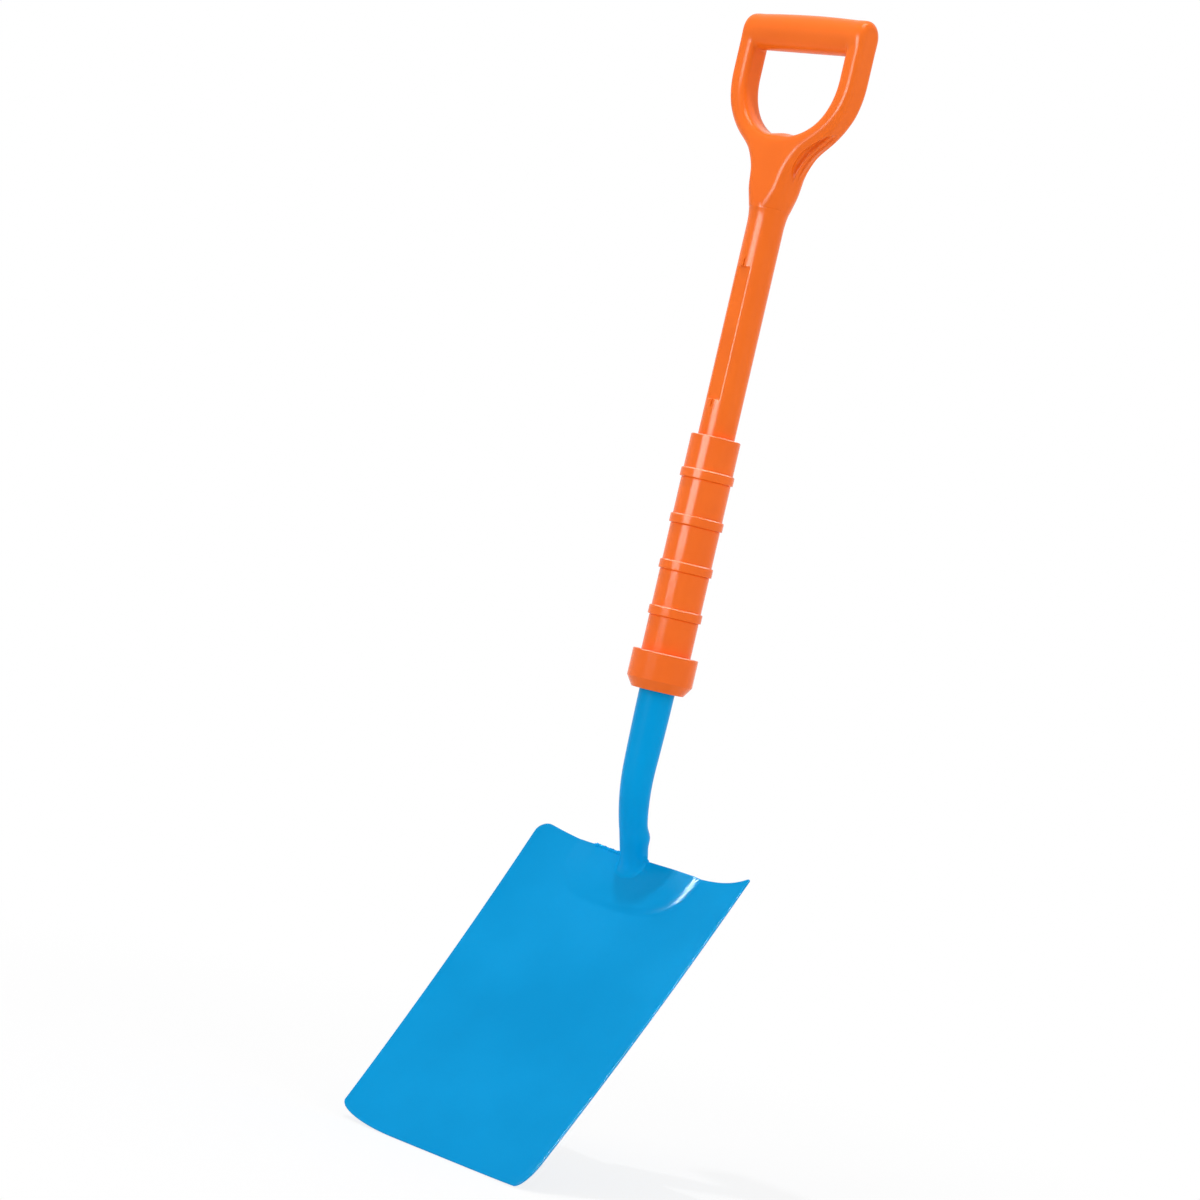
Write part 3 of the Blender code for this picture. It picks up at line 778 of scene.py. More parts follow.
@dataclass(frozen=True)
class TurnedMoulding:
    """A plastic piece turned from a closed outline."""

    PIECE: ClassVar[str]
    NODE: ClassVar[str]
    SIDES: ClassVar[int] = 128
    CREASE: ClassVar[float] = 32.0

    def outline(self) -> np.ndarray:
        """Closed outline as pairs of radius and height."""
        raise NotImplementedError

    def build(self, palette: Palette) -> None:
        """Turn the outline and dress the piece.

        Args:
            palette: The finished materials.
        """
        skin = Skin()
        skin.add_rows(turned_rows(self.outline(), self.SIDES), closed_across=True, closed_along=True)
        item = skin.to_object(self.PIECE, self.CREASE)
        settle(item, palette.sleeve_plastic, Slot.ORANGE, self.NODE)


@dataclass(frozen=True)
class HandSleeve(TurnedMoulding):
    """Insulating sleeve with four raised rings and a soft lip at its top."""

    PIECE: ClassVar[str] = "hand_sleeve_ringed"
    NODE: ClassVar[str] = "hand_sleeve"
    bore: float = 0.0168
    radius: float = 0.0223
    foot: float = 0.0043
    length: float = 0.2238
    lip: float = 0.0012
    ring_count: int = 4
    ring_first: float = 0.0654
    ring_pitch: float = 0.0413
    ring_height: float = 0.0083
    ring_proud: float = 0.0017
    ring_edge: float = 0.0006
    ring_lip: float = 0.0008
    groove: float = 0.0005
    fine_rounding: float = 0.0002
    crown_rounding: float = 0.0005
    wall_rounding: float = 0.0003
    bore_rounding: float = 0.0004

    def outline(self) -> np.ndarray:
        """Closed outline of the sleeve's wall.

        Returns:
            Pairs of radius and height.
        """
        top = self.foot + self.length
        crown = self.radius + self.ring_proud
        corners = [Corner(self.bore, self.foot), Corner(self.radius, self.foot)]
        for number in range(self.ring_count):
            low = self.ring_first + self.ring_pitch * number
            high = low + self.ring_height
            corners += [
                Corner(self.radius, low - 2.0 * self.groove, self.fine_rounding),
                Corner(self.radius - self.groove, low - self.groove, self.fine_rounding),
                Corner(crown, low + 0.5 * self.ring_edge, self.crown_rounding),
                Corner(crown, high - self.ring_lip, self.fine_rounding),
                Corner(crown - self.ring_lip, high, self.fine_rounding),
                Corner(self.radius, high, self.wall_rounding),
            ]
        corners += [
            Corner(self.radius, top - self.lip * 0.5, self.wall_rounding),
            Corner(self.radius - self.lip * 0.5, top, self.wall_rounding),
            Corner(self.bore, top, self.bore_rounding),
        ]
        return rounded_outline(corners)


@dataclass(frozen=True)
class FootCollar(TurnedMoulding):
    """Collar round the sleeve's foot, with a chamfer below and soft edges."""

    PIECE: ClassVar[str] = "foot_collar_cup"
    NODE: ClassVar[str] = "collar"
    radius: float = 0.0294
    height: float = 0.0337
    floor: float = 0.0040
    chamfer_rise: float = 0.0090
    chamfer_run: float = 0.0060
    sleeve_bore: float = 0.0226
    tube_bore: float = 0.0163
    edge: float = 0.0006
    bore_rounding: float = 0.0006
    lip: float = 0.0007
    lip_rounding: float = 0.0003

    def outline(self) -> np.ndarray:
        """Closed outline of the collar's cup.

        Returns:
            Pairs of radius and height.
        """
        return rounded_outline([
            Corner(self.tube_bore, 0.0, self.bore_rounding),
            Corner(self.radius - self.chamfer_run, 0.0, self.edge),
            Corner(self.radius, self.chamfer_rise, self.edge),
            Corner(self.radius, self.height - self.lip, self.lip_rounding),
            Corner(self.radius - self.lip, self.height, self.lip_rounding),
            Corner(self.sleeve_bore, self.height, self.bore_rounding),
            Corner(self.sleeve_bore, self.floor),
            Corner(self.tube_bore, self.floor),
        ])


# Grip.


@dataclass(frozen=True)
class DGrip:
    """Moulded D grip: arms, bar and yoke in one soft-edged body. Heights are above its own foot."""

    shaft_top: float = 0.4330
    foot_radius: float = 0.01798
    swell: float = 0.0012
    swell_height: float = 0.0070
    yoke_height: float = 0.0880
    yoke_half_width: float = 0.0560
    yoke_flange: float = 0.0012
    yoke_power: float = 1.60
    yoke_blend: float = 0.0075
    half_depth: float = 0.0130
    arm_edge: float = 0.0070
    foot_rounding: float = 0.0110
    waist_rounding: float = 0.0037
    waist_height: float = 0.0210
    window_edge: float = 0.0080
    window_half_width: float = 0.0533
    window_bend_height: float = 0.1200
    window_foot: float = 0.0652
    outer_half_width: float = 0.0713
    outer_bend_height: float = 0.1215
    outer_foot: float = 0.0490
    bend_power: float = 2.20
    bar_underside: float = 0.1420
    bar_half_height: float = 0.0167
    bar_half_depth: float = 0.0143
    bar_end_drop: float = 0.0011
    bar_stop: float = 0.0030
    bar_end_rounding: float = 0.0060
    facet_height: float = 0.1080
    crease: float = 0.0018
    hump_top: float = 0.0692
    pocket_middle: float = 0.0500
    pocket_rise: float = 0.0230
    pocket_drop: float = 0.0280
    pocket_half_width: float = 0.0120
    pocket_leaf: float = 2.3
    pocket_front: float = 0.0042
    pocket_web: float = 0.0017
    pocket_rear: float = 0.0012
    wall_front: float = 0.0062
    wall_rear: float = 0.0045
    rib_place: float = 0.0029
    rib_half_width: float = 0.0006
    rib_crest: float = 0.0002
    channel_blend: float = 0.0012
    fade_above: float = 0.22
    fade_below: float = 0.70
    flange_run: float = 0.0180
    depth_change: tuple = (0.0350, 0.0500)
    rounding_change: tuple = (0.0320, 0.0600)
    waist_run: float = 0.0140
    least_slope: float = 4.0
    widest_radius: float = 0.02
    hump_centre: tuple = (0.0, -0.0020, 0.0560)
    hump_reach: tuple = (0.0260, 0.0095)
    hump_size: float = 0.0105
    core_bore: float = 0.0133
    core_stop: float = 0.0120
    spigot_bore: float = 0.0093
    spigot_stop: float = 0.0423
    bar_fillet: float = 0.0026
    hump_fillet: float = 0.0040
    foot_edge: float = 0.0006
    steps: tuple = (0.0009, 0.00045, 0.0009)
    net_low: tuple = (-0.0747, -0.0215, -0.0018)
    net_high: tuple = (0.0756, 0.0220, 0.1790)
    settling_rounds: int = 5
    settling_reach: float = 1e-5
    settling_slope: float = 0.2
    crease_degrees: float = 50.0

    def outline(self, x: np.ndarray, z: np.ndarray, half_width: float, bend_height: float,
                foot: float) -> np.ndarray:
        """Distance to a D's outline, negative inside it.

        Args:
            x: Places across.
            z: Heights above the grip's foot.
            half_width: Half width of the D's straight part.
            bend_height: Height where its bend starts.
            foot: Height of its lowest point.

        Returns:
            Distances in the plane of the D.
        """
        power = self.bend_power
        rise = bend_height - foot
        u = np.maximum(np.abs(x) / half_width, TINY)
        v = np.maximum((bend_height - z) / rise, TINY)
        rho = (u ** power + v ** power) ** (1.0 / power)
        slope = rho ** (1.0 - power) * np.hypot(u ** (power - 1.0) / half_width, v ** (power - 1.0) / rise)
        bend = (rho - 1.0) / np.maximum(slope, self.least_slope)
        return np.where(z < bend_height, bend, np.abs(x) - half_width)

    def foot_size(self, z: np.ndarray) -> np.ndarray:
        """Half size of the round foot at a height."""
        return self.foot_radius + self.swell * (1.0 - np.exp(-np.maximum(z, 0.0) / self.swell_height))

    def yoke_width(self, z: np.ndarray) -> np.ndarray:
        """Half width of the yoke at a height.

        Args:
            z: Heights above the grip's foot.

        Returns:
            The half widths.
        """
        share = np.clip(z / self.yoke_height, 0.0, 1.0)
        foot = self.foot_size(z) + self.yoke_flange * smooth_step(z / self.flange_run)
        return foot + (self.yoke_half_width - foot) * smooth_step(share ** self.yoke_power)

    def side_form(self, x: np.ndarray, z: np.ndarray) -> np.ndarray:
        """Distance to the whole grip's outline seen from the front.

        Args:
            x: Places across.
            z: Heights above the grip's foot.

        Returns:
            Distances in the plane of the D.
        """
        outer = self.outline(x, z, self.outer_half_width, self.outer_bend_height, self.outer_foot)
        reach = 1e-4
        slope = (self.yoke_width(z + reach) - self.yoke_width(z - reach)) / (2.0 * reach)
        yoke = (np.abs(x) - self.yoke_width(z)) / np.sqrt(1.0 + slope ** 2)
        yoke = np.maximum(yoke, z - self.yoke_height)
        return joined(outer, yoke, self.yoke_blend)

    def oval(self, across: np.ndarray, up: np.ndarray, half_across: np.ndarray,
             half_up: np.ndarray) -> np.ndarray:
        """Distance to an upright oval, negative inside it.

        Args:
            across: Places across the oval, from its middle.
            up: Heights from its middle.
            half_across: Its half width.
            half_up: Its half height.

        Returns:
            The distances.
        """
        u, v = across / half_across, up / half_up
        rho = np.maximum(np.hypot(u, v), TINY)
        slope = np.maximum(np.hypot(u / half_across, v / half_up), rho / self.widest_radius)
        return (rho - 1.0) * rho / slope

    def depth_form(self, y: np.ndarray, z: np.ndarray) -> np.ndarray:
        """Distance to the grip's front and back, rounded over the tops of the arms.

        Args:
            y: Places from front to back.
            z: Heights above the grip's foot.

        Returns:
            The distances.
        """
        foot = self.foot_size(z)
        start, run = self.depth_change
        depth = foot + (self.half_depth - foot) * smooth_step((z - start) / run)
        rise = self.bar_half_height - self.bar_end_drop
        middle = self.bar_underside + rise
        cap = self.oval(y, z - middle, self.half_depth, rise)
        return np.where(z > middle, cap, np.abs(y) - depth)

    def bar_form(self, x: np.ndarray, y: np.ndarray, z: np.ndarray) -> np.ndarray:
        """Distance to the barrel-shaped bar.

        Args:
            x: Places across.
            y: Places from front to back.
            z: Heights above the grip's foot.

        Returns:
            The distances.
        """
        place = np.clip(np.abs(x) / self.outer_half_width, 0.0, 1.0)
        high = self.bar_half_height - self.bar_end_drop * place ** 2
        deep = self.bar_half_depth + (self.half_depth - self.bar_half_depth) * place ** 2
        round_form = self.oval(y, z - self.bar_underside - high, deep, high)
        return common(round_form, np.abs(x) - self.outer_half_width + self.bar_stop, self.bar_end_rounding)

    def hump_form(self, x: np.ndarray, y: np.ndarray, z: np.ndarray) -> np.ndarray:
        """Distance to the soft hump on the bottom of the hand opening.

        Args:
            x: Places across.
            y: Places from front to back.
            z: Heights above the grip's foot.

        Returns:
            The distances.
        """
        _, back, centre = self.hump_centre
        u, v = x / self.hump_reach[0], (y - back) / self.hump_reach[1]
        w = (z - centre) / (self.hump_top - centre)
        rho = np.maximum(np.sqrt(u * u + v * v + w * w), TINY)
        return (rho - 1.0) * self.hump_size

    def pocket_cut(self, y: np.ndarray, z: np.ndarray) -> np.ndarray:
        """How deep the leaf-shaped side pocket goes: three channels with two thin ribs between them.

        Args:
            y: Places from front to back.
            z: Heights above the grip's foot.

        Returns:
            The depths.
        """
        away = z - self.pocket_middle
        share = np.clip(np.abs(away) / np.where(away > 0.0, self.pocket_rise, self.pocket_drop), 0.0, 1.0)
        half_width = self.pocket_half_width * (1.0 - share ** self.pocket_leaf) ** (1.0 / self.pocket_leaf)
        inside = smooth_step((half_width - np.abs(y)) / np.where(y < 0.0, self.wall_front, self.wall_rear))
        front = smooth_step(0.5 - (y + self.rib_place) / self.channel_blend)
        rear = smooth_step(0.5 + (y - self.rib_place) / self.channel_blend)
        floor = self.pocket_web + (self.pocket_front - self.pocket_web) * front
        floor = floor + (self.pocket_rear - self.pocket_web) * rear
        rib = (floor - self.rib_crest) * bell((np.abs(y) - self.rib_place) / self.rib_half_width)
        fade = smooth_step((1.0 - share) / np.where(away > 0.0, self.fade_above, self.fade_below))
        return inside * (floor - rib) * fade

    def bore_form(self, x: np.ndarray, y: np.ndarray, z: np.ndarray) -> np.ndarray:
        """Distance to the bore that takes the core and its spigot.

        Args:
            x: Places across.
            y: Places from front to back.
            z: Heights above the grip's foot.

        Returns:
            The distances.
        """
        radius = np.hypot(x, y)
        core = np.maximum(radius - self.core_bore, z - self.core_stop)
        spigot = np.maximum(radius - self.spigot_bore, z - self.spigot_stop)
        return np.minimum(core, spigot)

    def distance(self, points: np.ndarray) -> np.ndarray:
        """Distance from points to the grip's surface, negative inside it.

        Args:
            points: Places with their height above the grip's foot.

        Returns:
            One distance for each point.
        """
        x, y, z = points[..., 0], points[..., 1], points[..., 2]
        start, run = self.rounding_change
        rounding = self.arm_edge + self.foot_rounding * (1.0 - smooth_step((z - start) / run))
        rounding = rounding - self.waist_rounding * bell((z - self.waist_height) / self.waist_run)
        side = self.side_form(x, z)
        q_side, q_depth = side + rounding, self.depth_form(y, z) + rounding
        form = np.hypot(np.maximum(q_side, 0.0), np.maximum(q_depth, 0.0))
        form = form + np.minimum(np.maximum(q_side, q_depth), 0.0) - rounding
        facet = self.foot_radius - (self.foot_radius - self.half_depth) * z / self.facet_height
        facet = np.maximum(facet, self.half_depth)
        form = common(form, np.abs(y) - facet, self.crease)
        form = form + self.pocket_cut(y, z)
        window = self.outline(x, z, self.window_half_width, self.window_bend_height, self.window_foot)
        form = common(form, -window, self.window_edge)
        form = joined(form, self.bar_form(x, y, z), self.bar_fillet)
        form = joined(form, self.hump_form(x, y, z), self.hump_fillet)
        form = common(form, -z, self.foot_edge)
        return np.maximum(form, -self.bore_form(x, y, z))

    def settled(self, points: np.ndarray) -> np.ndarray:
        """Points of the net drawn onto the true surface.

        Args:
            points: Points near the surface.

        Returns:
            The same points, moved onto it.
        """
        reach = self.settling_reach
        farthest = 0.5 * min(self.steps)
        for _ in range(self.settling_rounds):
            value = self.distance(points)
            slope = np.stack([(self.distance(points + reach * way) - self.distance(points - reach * way))
                              / (2.0 * reach) for way in np.eye(3)], axis=-1)
            size = np.maximum((slope ** 2).sum(axis=-1), self.settling_slope)
            move = -slope * (value / size)[:, None]
            points = points + np.clip(move, -farthest, farthest)
        return points

    def build(self, palette: Palette) -> None:
        """Make the grip and dress it.

        Args:
            palette: The finished materials.
        """
        axes = [np.arange(*sizes) for sizes in zip(self.net_low, self.net_high, self.steps)]
        grid = np.stack(np.meshgrid(*axes, indexing="ij"), axis=-1)
        points, quads = surface_net(self.distance(grid), np.array(self.net_low), np.array(self.steps))
        points = self.settled(points) + (0.0, 0.0, self.shaft_top)
        item = Skin(points.tolist(), quads.tolist()).to_object("d_grip_moulding", self.crease_degrees)
        settle(item, palette.grip_plastic, Slot.ORANGE, "grip")


# Blade.


@dataclass(frozen=True)
class BladeSheet:
    """Pressed sheet: its outline, its hollow and the raised frog under the socket."""

    sheet: float = 0.0020
    length: float = 0.3238
    half_top: float = 0.1272
    half_mouth: float = 0.1173
    bow: float = 0.0034
    lift: float = math.radians(33.2)
    left_shoulder: tuple = (0.0110, 1.9)
    right_shoulder: tuple = (0.0135, 7.0)
    left_corner: float = 0.0130
    right_corner: float = 0.0020
    left_mouth: tuple = (0.0720, 0.0150)
    right_mouth: tuple = (0.0110, 0.0260)
    dish_at_top: float = 0.0030
    dish_at_mouth: float = 0.0020
    frog_half_width: float = 0.0778
    frog_length: float = 0.0540
    frog_rise: float = 0.0042
    frog_flank: float = 0.45
    frog_step: float = 0.13
    frog_step_right: float = 0.52
    frog_step_left: float = 0.14
    frog_power: float = 3.0
    middle: tuple = (0.0, 0.023753, -0.148762)
    hollow_power: int = 4
    columns: int = 150
    rows: int = 170
    even_share: float = 0.62
    even_power: float = 1.35
    rim_steps: int = 4
    notch_crease: float = 20.0

    @property
    def down_way(self) -> np.ndarray:
        """Direction down the blade."""
        return np.array((0.0, -math.sin(self.lift), -math.cos(self.lift)))

    @property
    def out_way(self) -> np.ndarray:
        """Direction out of the blade's hollow face."""
        return np.array((0.0, -math.cos(self.lift), math.sin(self.lift)))

    def half_width(self, down: np.ndarray) -> np.ndarray:
        """Half width of the blade at a distance down from its top edge."""
        share = np.clip(down / self.length, 0.0, 1.0)
        return self.half_top + (self.half_mouth - self.half_top) * share

    @staticmethod
    def corner_fall(across: np.ndarray, half_width: float, run: float, rise: float) -> np.ndarray:
        """How far a round corner draws an edge back at a place across the blade."""
        inside = np.clip((np.abs(across) - (half_width - run)) / run, 0.0, 1.0)
        return rise * (1.0 - np.sqrt(1.0 - inside ** 2))

    def top_edge(self, across: np.ndarray) -> np.ndarray:
        """Distance down to the top edge, which rises to a shoulder at each side.

        Args:
            across: Places across the blade.

        Returns:
            Distances down the blade.
        """
        share = np.abs(across) / self.half_top
        left = self.corner_fall(across, self.half_top, self.left_corner, self.left_corner)
        left = left - self.left_shoulder[0] * share ** self.left_shoulder[1]
        right = self.corner_fall(across, self.half_top, self.right_corner, self.right_corner)
        right = right - self.right_shoulder[0] * share ** self.right_shoulder[1]
        return np.where(across < 0.0, left, right)

    def mouth_edge(self, across: np.ndarray) -> np.ndarray:
        """Distance down to the mouth, with its two round corners.

        Args:
            across: Places across the blade.

        Returns:
            Distances down the blade.
        """
        left = self.corner_fall(across, self.half_mouth, *self.left_mouth)
        right = self.corner_fall(across, self.half_mouth, *self.right_mouth)
        return self.length - np.where(across < 0.0, left, right)

    def face_height(self, across: np.ndarray, down: np.ndarray) -> np.ndarray:
        """How far the middle of the sheet stands forward of a flat blade.

        Args:
            across: Places across the blade.
            down: Distances down the blade.

        Returns:
            Heights out of the flat blade, towards its hollow face.
        """
        share = np.clip(down / self.length, 0.0, 1.0)
        dish = self.dish_at_top + (self.dish_at_mouth - self.dish_at_top) * share
        hollow = dish * (1.0 - np.minimum(1.0, np.abs(across) / self.half_width(down)) ** self.hollow_power)
        bow = self.bow * 4.0 * share * (1.0 - share)
        power = self.frog_power
        reach = ((np.abs(across) / self.frog_half_width) ** power
                 + (np.maximum(down, 0.0) / self.frog_length) ** power) ** (1.0 / power)
        right = smooth_step(0.5 + across / self.frog_half_width)
        step_share = self.frog_step_left + (self.frog_step_right - self.frog_step_left) * right
        dome = (1.0 - step_share) * smooth_step((1.0 - reach) / self.frog_flank)
        step = step_share * smooth_step((1.0 - reach) / self.frog_step)
        return self.frog_rise * (dome + step) - hollow - bow

    def place(self, across: np.ndarray, down: np.ndarray, out: np.ndarray) -> np.ndarray:
        """Points in the blade's own directions."""
        parts = ((across, ACROSS), (down, self.down_way), (out, self.out_way))
        return np.array(self.middle) + sum(np.asarray(value)[..., None] * way for value, way in parts)

    def own(self, points: np.ndarray) -> tuple[np.ndarray, np.ndarray, np.ndarray]:
        """Across, down and out of points, in the blade's own directions."""
        offset = points - np.array(self.middle)
        return offset @ ACROSS, offset @ self.down_way, offset @ self.out_way

    def normal(self, across: np.ndarray, down: np.ndarray) -> np.ndarray:
        """Direction straight out of the hollow face.

        Args:
            across: Places across the blade.
            down: Distances down the blade.

        Returns:
            Directions of length 1.
        """
        reach = 1e-4
        rise = self.face_height(across + reach, down) - self.face_height(across - reach, down)
        fall = self.face_height(across, down + reach) - self.face_height(across, down - reach)
        rise, fall = rise[..., None] / (2.0 * reach), fall[..., None] / (2.0 * reach)
        return unit(self.out_way - rise * ACROSS - fall * self.down_way)

    def grid(self) -> tuple[np.ndarray, np.ndarray]:
        """Across and down of the sheet's middle grid, drawn in by the rim's radius.

        Returns:
            Places across the blade and distances down it, in rows and columns.
        """
        inset = self.sheet / 2.0
        share = np.sin(np.pi * (np.arange(self.columns + 1) / self.columns - 0.5))[None, :]
        along = np.arange(self.rows + 1) / self.rows
        even = self.even_share * along ** self.even_power
        fall = (even + (1.0 - self.even_share) * np.sin(0.5 * np.pi * along))[:, None]
        top = self.top_edge(share * self.half_top) + inset
        mouth = self.mouth_edge(share * self.half_mouth) - inset
        down = top + (mouth - top) * fall
        return share * (self.half_width(down) - inset), down

    def sheet_skin(self) -> Skin:
        """Both faces of the sheet and the half-round rim between them.

        Returns:
            The closed skin of the sheet.
        """
        across, down = self.grid()
        middle = self.place(across, down, self.face_height(across, down))
        normal = self.normal(across, down)
        half = self.sheet / 2.0
        skin = Skin()
        front = skin.add_rows(middle + normal * half)
        back = skin.add_rows(middle - normal * half, flip=True)
        loop = self.border(np.arange(front.size).reshape(front.shape))
        edge, out = middle.reshape(-1, 3)[loop], normal.reshape(-1, 3)[loop]
        way = unit(np.roll(edge, -1, axis=0) - np.roll(edge, 1, axis=0))
        side = unit(np.cross(way, out))
        side = side * np.sign(((edge - edge.mean(axis=0)) * side).sum(axis=-1, keepdims=True))
        rim = [front.reshape(-1)[loop]]
        for step in range(1, self.rim_steps):
            angle = math.pi * step / self.rim_steps
            row = edge + out * half * math.cos(angle) + side * half * math.sin(angle)
            start = len(skin.points)
            skin.points.extend(row.tolist())
            rim.append(np.arange(start, start + len(row)))
        rim.append(back.reshape(-1)[loop])
        skin.add_quads(np.stack(rim), closed_across=True, flip=True)
        return skin

    @staticmethod
    def border(numbers: np.ndarray) -> np.ndarray:
        """Point numbers round the border of a grid, in order."""
        return np.concatenate([numbers[0], numbers[1:, -1], numbers[-1, -2::-1], numbers[-2:0:-1, 0]])

    def build(self, palette: Palette, tube: "SocketTube") -> None:
        """Make the sheet, notch it for the socket and dress it.

        Args:
            palette: The finished materials.
            tube: The tube that the notch lets through.
        """
        item = outward(self.sheet_skin().to_object("pressed_blade"))
        cutter = outward(tube.envelope(SEAT).to_object("notch_cutter"))
        cut(item, cutter)
        item.data.set_sharp_from_angle(angle=math.radians(self.notch_crease))
        settle(item, palette.paint, Slot.BLUE, "blade")


# Socket tube and welds.


@dataclass(frozen=True)
class Station:
    """One place down the tube: its middle, its front direction and its two half sizes."""

    middle: np.ndarray
    front: np.ndarray
    half_width: float
    half_thickness: float

    def toward(self, other: "Station", share: float) -> "Station":
        """A station part of the way to another one.

        Args:
            other: The station that it leads to.
            share: How far, from 0 to 1.

        Returns:
            The station between them.
        """
        return Station(self.middle + (other.middle - self.middle) * share,
                       unit(self.front + (other.front - self.front) * share),
                       self.half_width + (other.half_width - self.half_width) * share,
                       self.half_thickness + (other.half_thickness - self.half_thickness) * share)


@dataclass(frozen=True)
class SocketTube:
    """Steel tube: straight in the sleeve, cranked below the collar, flat behind the blade."""

    blade: BladeSheet
    socket_depth: float = 0.1500
    wall: float = 0.0022
    shaft_radius: float = 0.0165
    collar_height: float = 0.0337
    exit_radius: float = 0.0159
    neck_radius: float = 0.0125
    taper_length: float = 0.1240
    straight: float = 0.0660
    crank_radius: float = 0.1600
    crank_lean: float = math.radians(21.0)
    axis_below_edge: float = 0.0020
    axis_proud: float = 0.0026
    flatten_lead: float = 0.0060
    flatten_reach: float = 0.0300
    tang_half_width: float = 0.0190
    tang_thickness: float = 0.0070
    tang_length: float = 0.0400
    core_bore: float = 0.0133
    core_foot: float = 0.0097
    taper_power: float = 1.6
    neck_steps: int = 8
    crank_steps: int = 24
    lean_steps: int = 8
    flat_steps: int = 24
    tang_steps: int = 6
    sides: int = 96
    notch_sides: int = 64
    crease: float = 45.0
    swelling: float = 0.0021
    swelling_above_edge: float = 0.0095
    swelling_run: float = 0.0040
    swelling_turn: float = 0.75
    swelling_power: float = 1.5

    def radius(self, height: float) -> float:
        """Outer radius at a height beside the collar or along the neck.

        Args:
            height: Height above the collar's foot.

        Returns:
            The radius.
        """
        if height >= self.collar_height:
            return self.shaft_radius
        if height >= 0.0:
            return self.exit_radius + (self.shaft_radius - self.exit_radius) * height / self.collar_height
        share = min(1.0, -height / self.taper_length)
        return self.exit_radius + (self.neck_radius - self.exit_radius) * share ** self.taper_power

    def neck_stations(self) -> list[Station]:
        """Stations down to the end of the crank.

        Returns:
            The stations from the socket's top down.
        """
        front = np.array((0.0, -1.0, 0.0))
        stations = []
        heights = [self.socket_depth, self.collar_height, 0.0]
        heights += [-self.straight * step / self.neck_steps for step in range(1, self.neck_steps)]
        for height in heights:
            size = self.radius(height)
            stations.append(Station(np.array((0.0, 0.0, height)), front, size, size))
        for step in range(self.crank_steps + 1):
            angle = self.crank_lean * step / self.crank_steps
            middle = np.array((0.0, self.crank_radius * (1.0 - math.cos(angle)),
                               -self.straight - self.crank_radius * math.sin(angle)))
            size = self.radius(middle[2])
            stations.append(Station(middle, np.array((0.0, -math.cos(angle), -math.sin(angle))), size, size))
        return stations

    def under_sheet(self, down: float) -> float:
        """Distance out to the tang's front face, behind the sheet."""
        height = float(self.blade.face_height(np.array(0.0), np.array(down)))
        return height - self.blade.sheet / 2.0 - 2.0 * SEAT

    def rail(self, side: float) -> np.ndarray:
        """Corner points of the tube's front or back line where it flattens.

        Args:
            side: 1 for the front line, -1 for the back line.

        Returns:
            Start, corner and end, as distances down and out of the blade.
        """
        turn = self.blade.lift + self.crank_lean
        way = (math.cos(turn), -math.sin(turn))
        shift = self.neck_radius * side
        start = (self.axis_below_edge - self.flatten_lead * way[0] - shift * way[1],
                 self.axis_proud - self.flatten_lead * way[1] + shift * way[0])
        drop = 0.0 if side > 0.0 else self.tang_thickness
        end = (self.flatten_reach, self.under_sheet(self.flatten_reach) - drop)
        reach = (start[1] - end[1]) / -way[1]
        return np.array((start, (start[0] + reach * way[0], end[1]), end))

    def flat_stations(self) -> list[Station]:
        """Stations of the end that bends and flattens behind the blade.

        Returns:
            The stations from the end of the lean to the tang's end.
        """
        steps = self.flat_steps
        rails = []
        for side, drop in ((1.0, 0.0), (-1.0, self.tang_thickness)):
            corners = self.rail(side)
            line = []
            for step in range(steps + 1):
                share = step / steps
                weights = np.array(((1.0 - share) ** 2, 2.0 * share * (1.0 - share), share ** 2))
                line.append(weights @ corners)
            for step in range(1, self.tang_steps + 1):
                down = self.flatten_reach + self.tang_length * step / self.tang_steps
                line.append((down, self.under_sheet(down) - drop))
            line = np.array(line)
            rails.append(self.blade.place(np.zeros(len(line)), line[:, 0], line[:, 1]))
        stations = []
        for number, (front, back) in enumerate(zip(*rails)):
            wide = float(smooth_step(np.array(number / steps)))
            half_width = self.neck_radius + (self.tang_half_width - self.neck_radius) * wide
            half = (front - back) / 2.0
            length = float(np.linalg.norm(half))
            stations.append(Station((front + back) / 2.0, half / length, half_width, length))
        return stations

    def stations(self) -> list[Station]:
        """All stations from the socket's top to the tang's end.

        Returns:
            The stations in order.
        """
        neck, flat = self.neck_stations(), self.flat_stations()
        shares = [step / self.lean_steps for step in range(1, self.lean_steps)]
        return neck + [neck[-1].toward(flat[0], share) for share in shares] + flat

    def rings(self, stations: list[Station], grow: np.ndarray, turns: np.ndarray) -> np.ndarray:
        """Rings of the tube at its stations, wider by the given amount at each turn.

        Args:
            stations: The stations in order.
            grow: How much wider, for each turn.
            turns: Angles round the tube, a quarter turn being its front.

        Returns:
            Points for each station and turn.
        """
        rows = []
        for station in stations:
            rows.append(station.middle
                        + np.outer((station.half_width + grow) * np.cos(turns), ACROSS)
                        + np.outer((station.half_thickness + grow) * np.sin(turns), station.front))
        return np.array(rows)

    def envelope(self, grow: float) -> Skin:
        """The tube's outer form as a solid, for cutting what it passes through."""
        wider = np.full(self.notch_sides, grow)
        return Skin.over_rings(self.rings(self.stations(), wider, full_turn(self.notch_sides)))

    def uneven(self, rows: np.ndarray, stations: list[Station]) -> np.ndarray:
        """The painted tube's slight swelling where the weld's heat ran up its foot.

        Args:
            rows: Rings of the tube.
            stations: The stations of those rings.

        Returns:
            The swollen rings.
        """
        middles = np.array([station.middle for station in stations])
        down = self.blade.own(middles)[1]
        above = bell((down + self.swelling_above_edge) / self.swelling_run)
        facing = 0.5 + 0.5 * np.cos(full_turn(self.sides) + self.swelling_turn)
        wave = facing ** self.swelling_power
        outwards = unit(rows - middles[:, None, :])
        return rows + outwards * (self.swelling * above[:, None] * wave[None, :])[..., None]

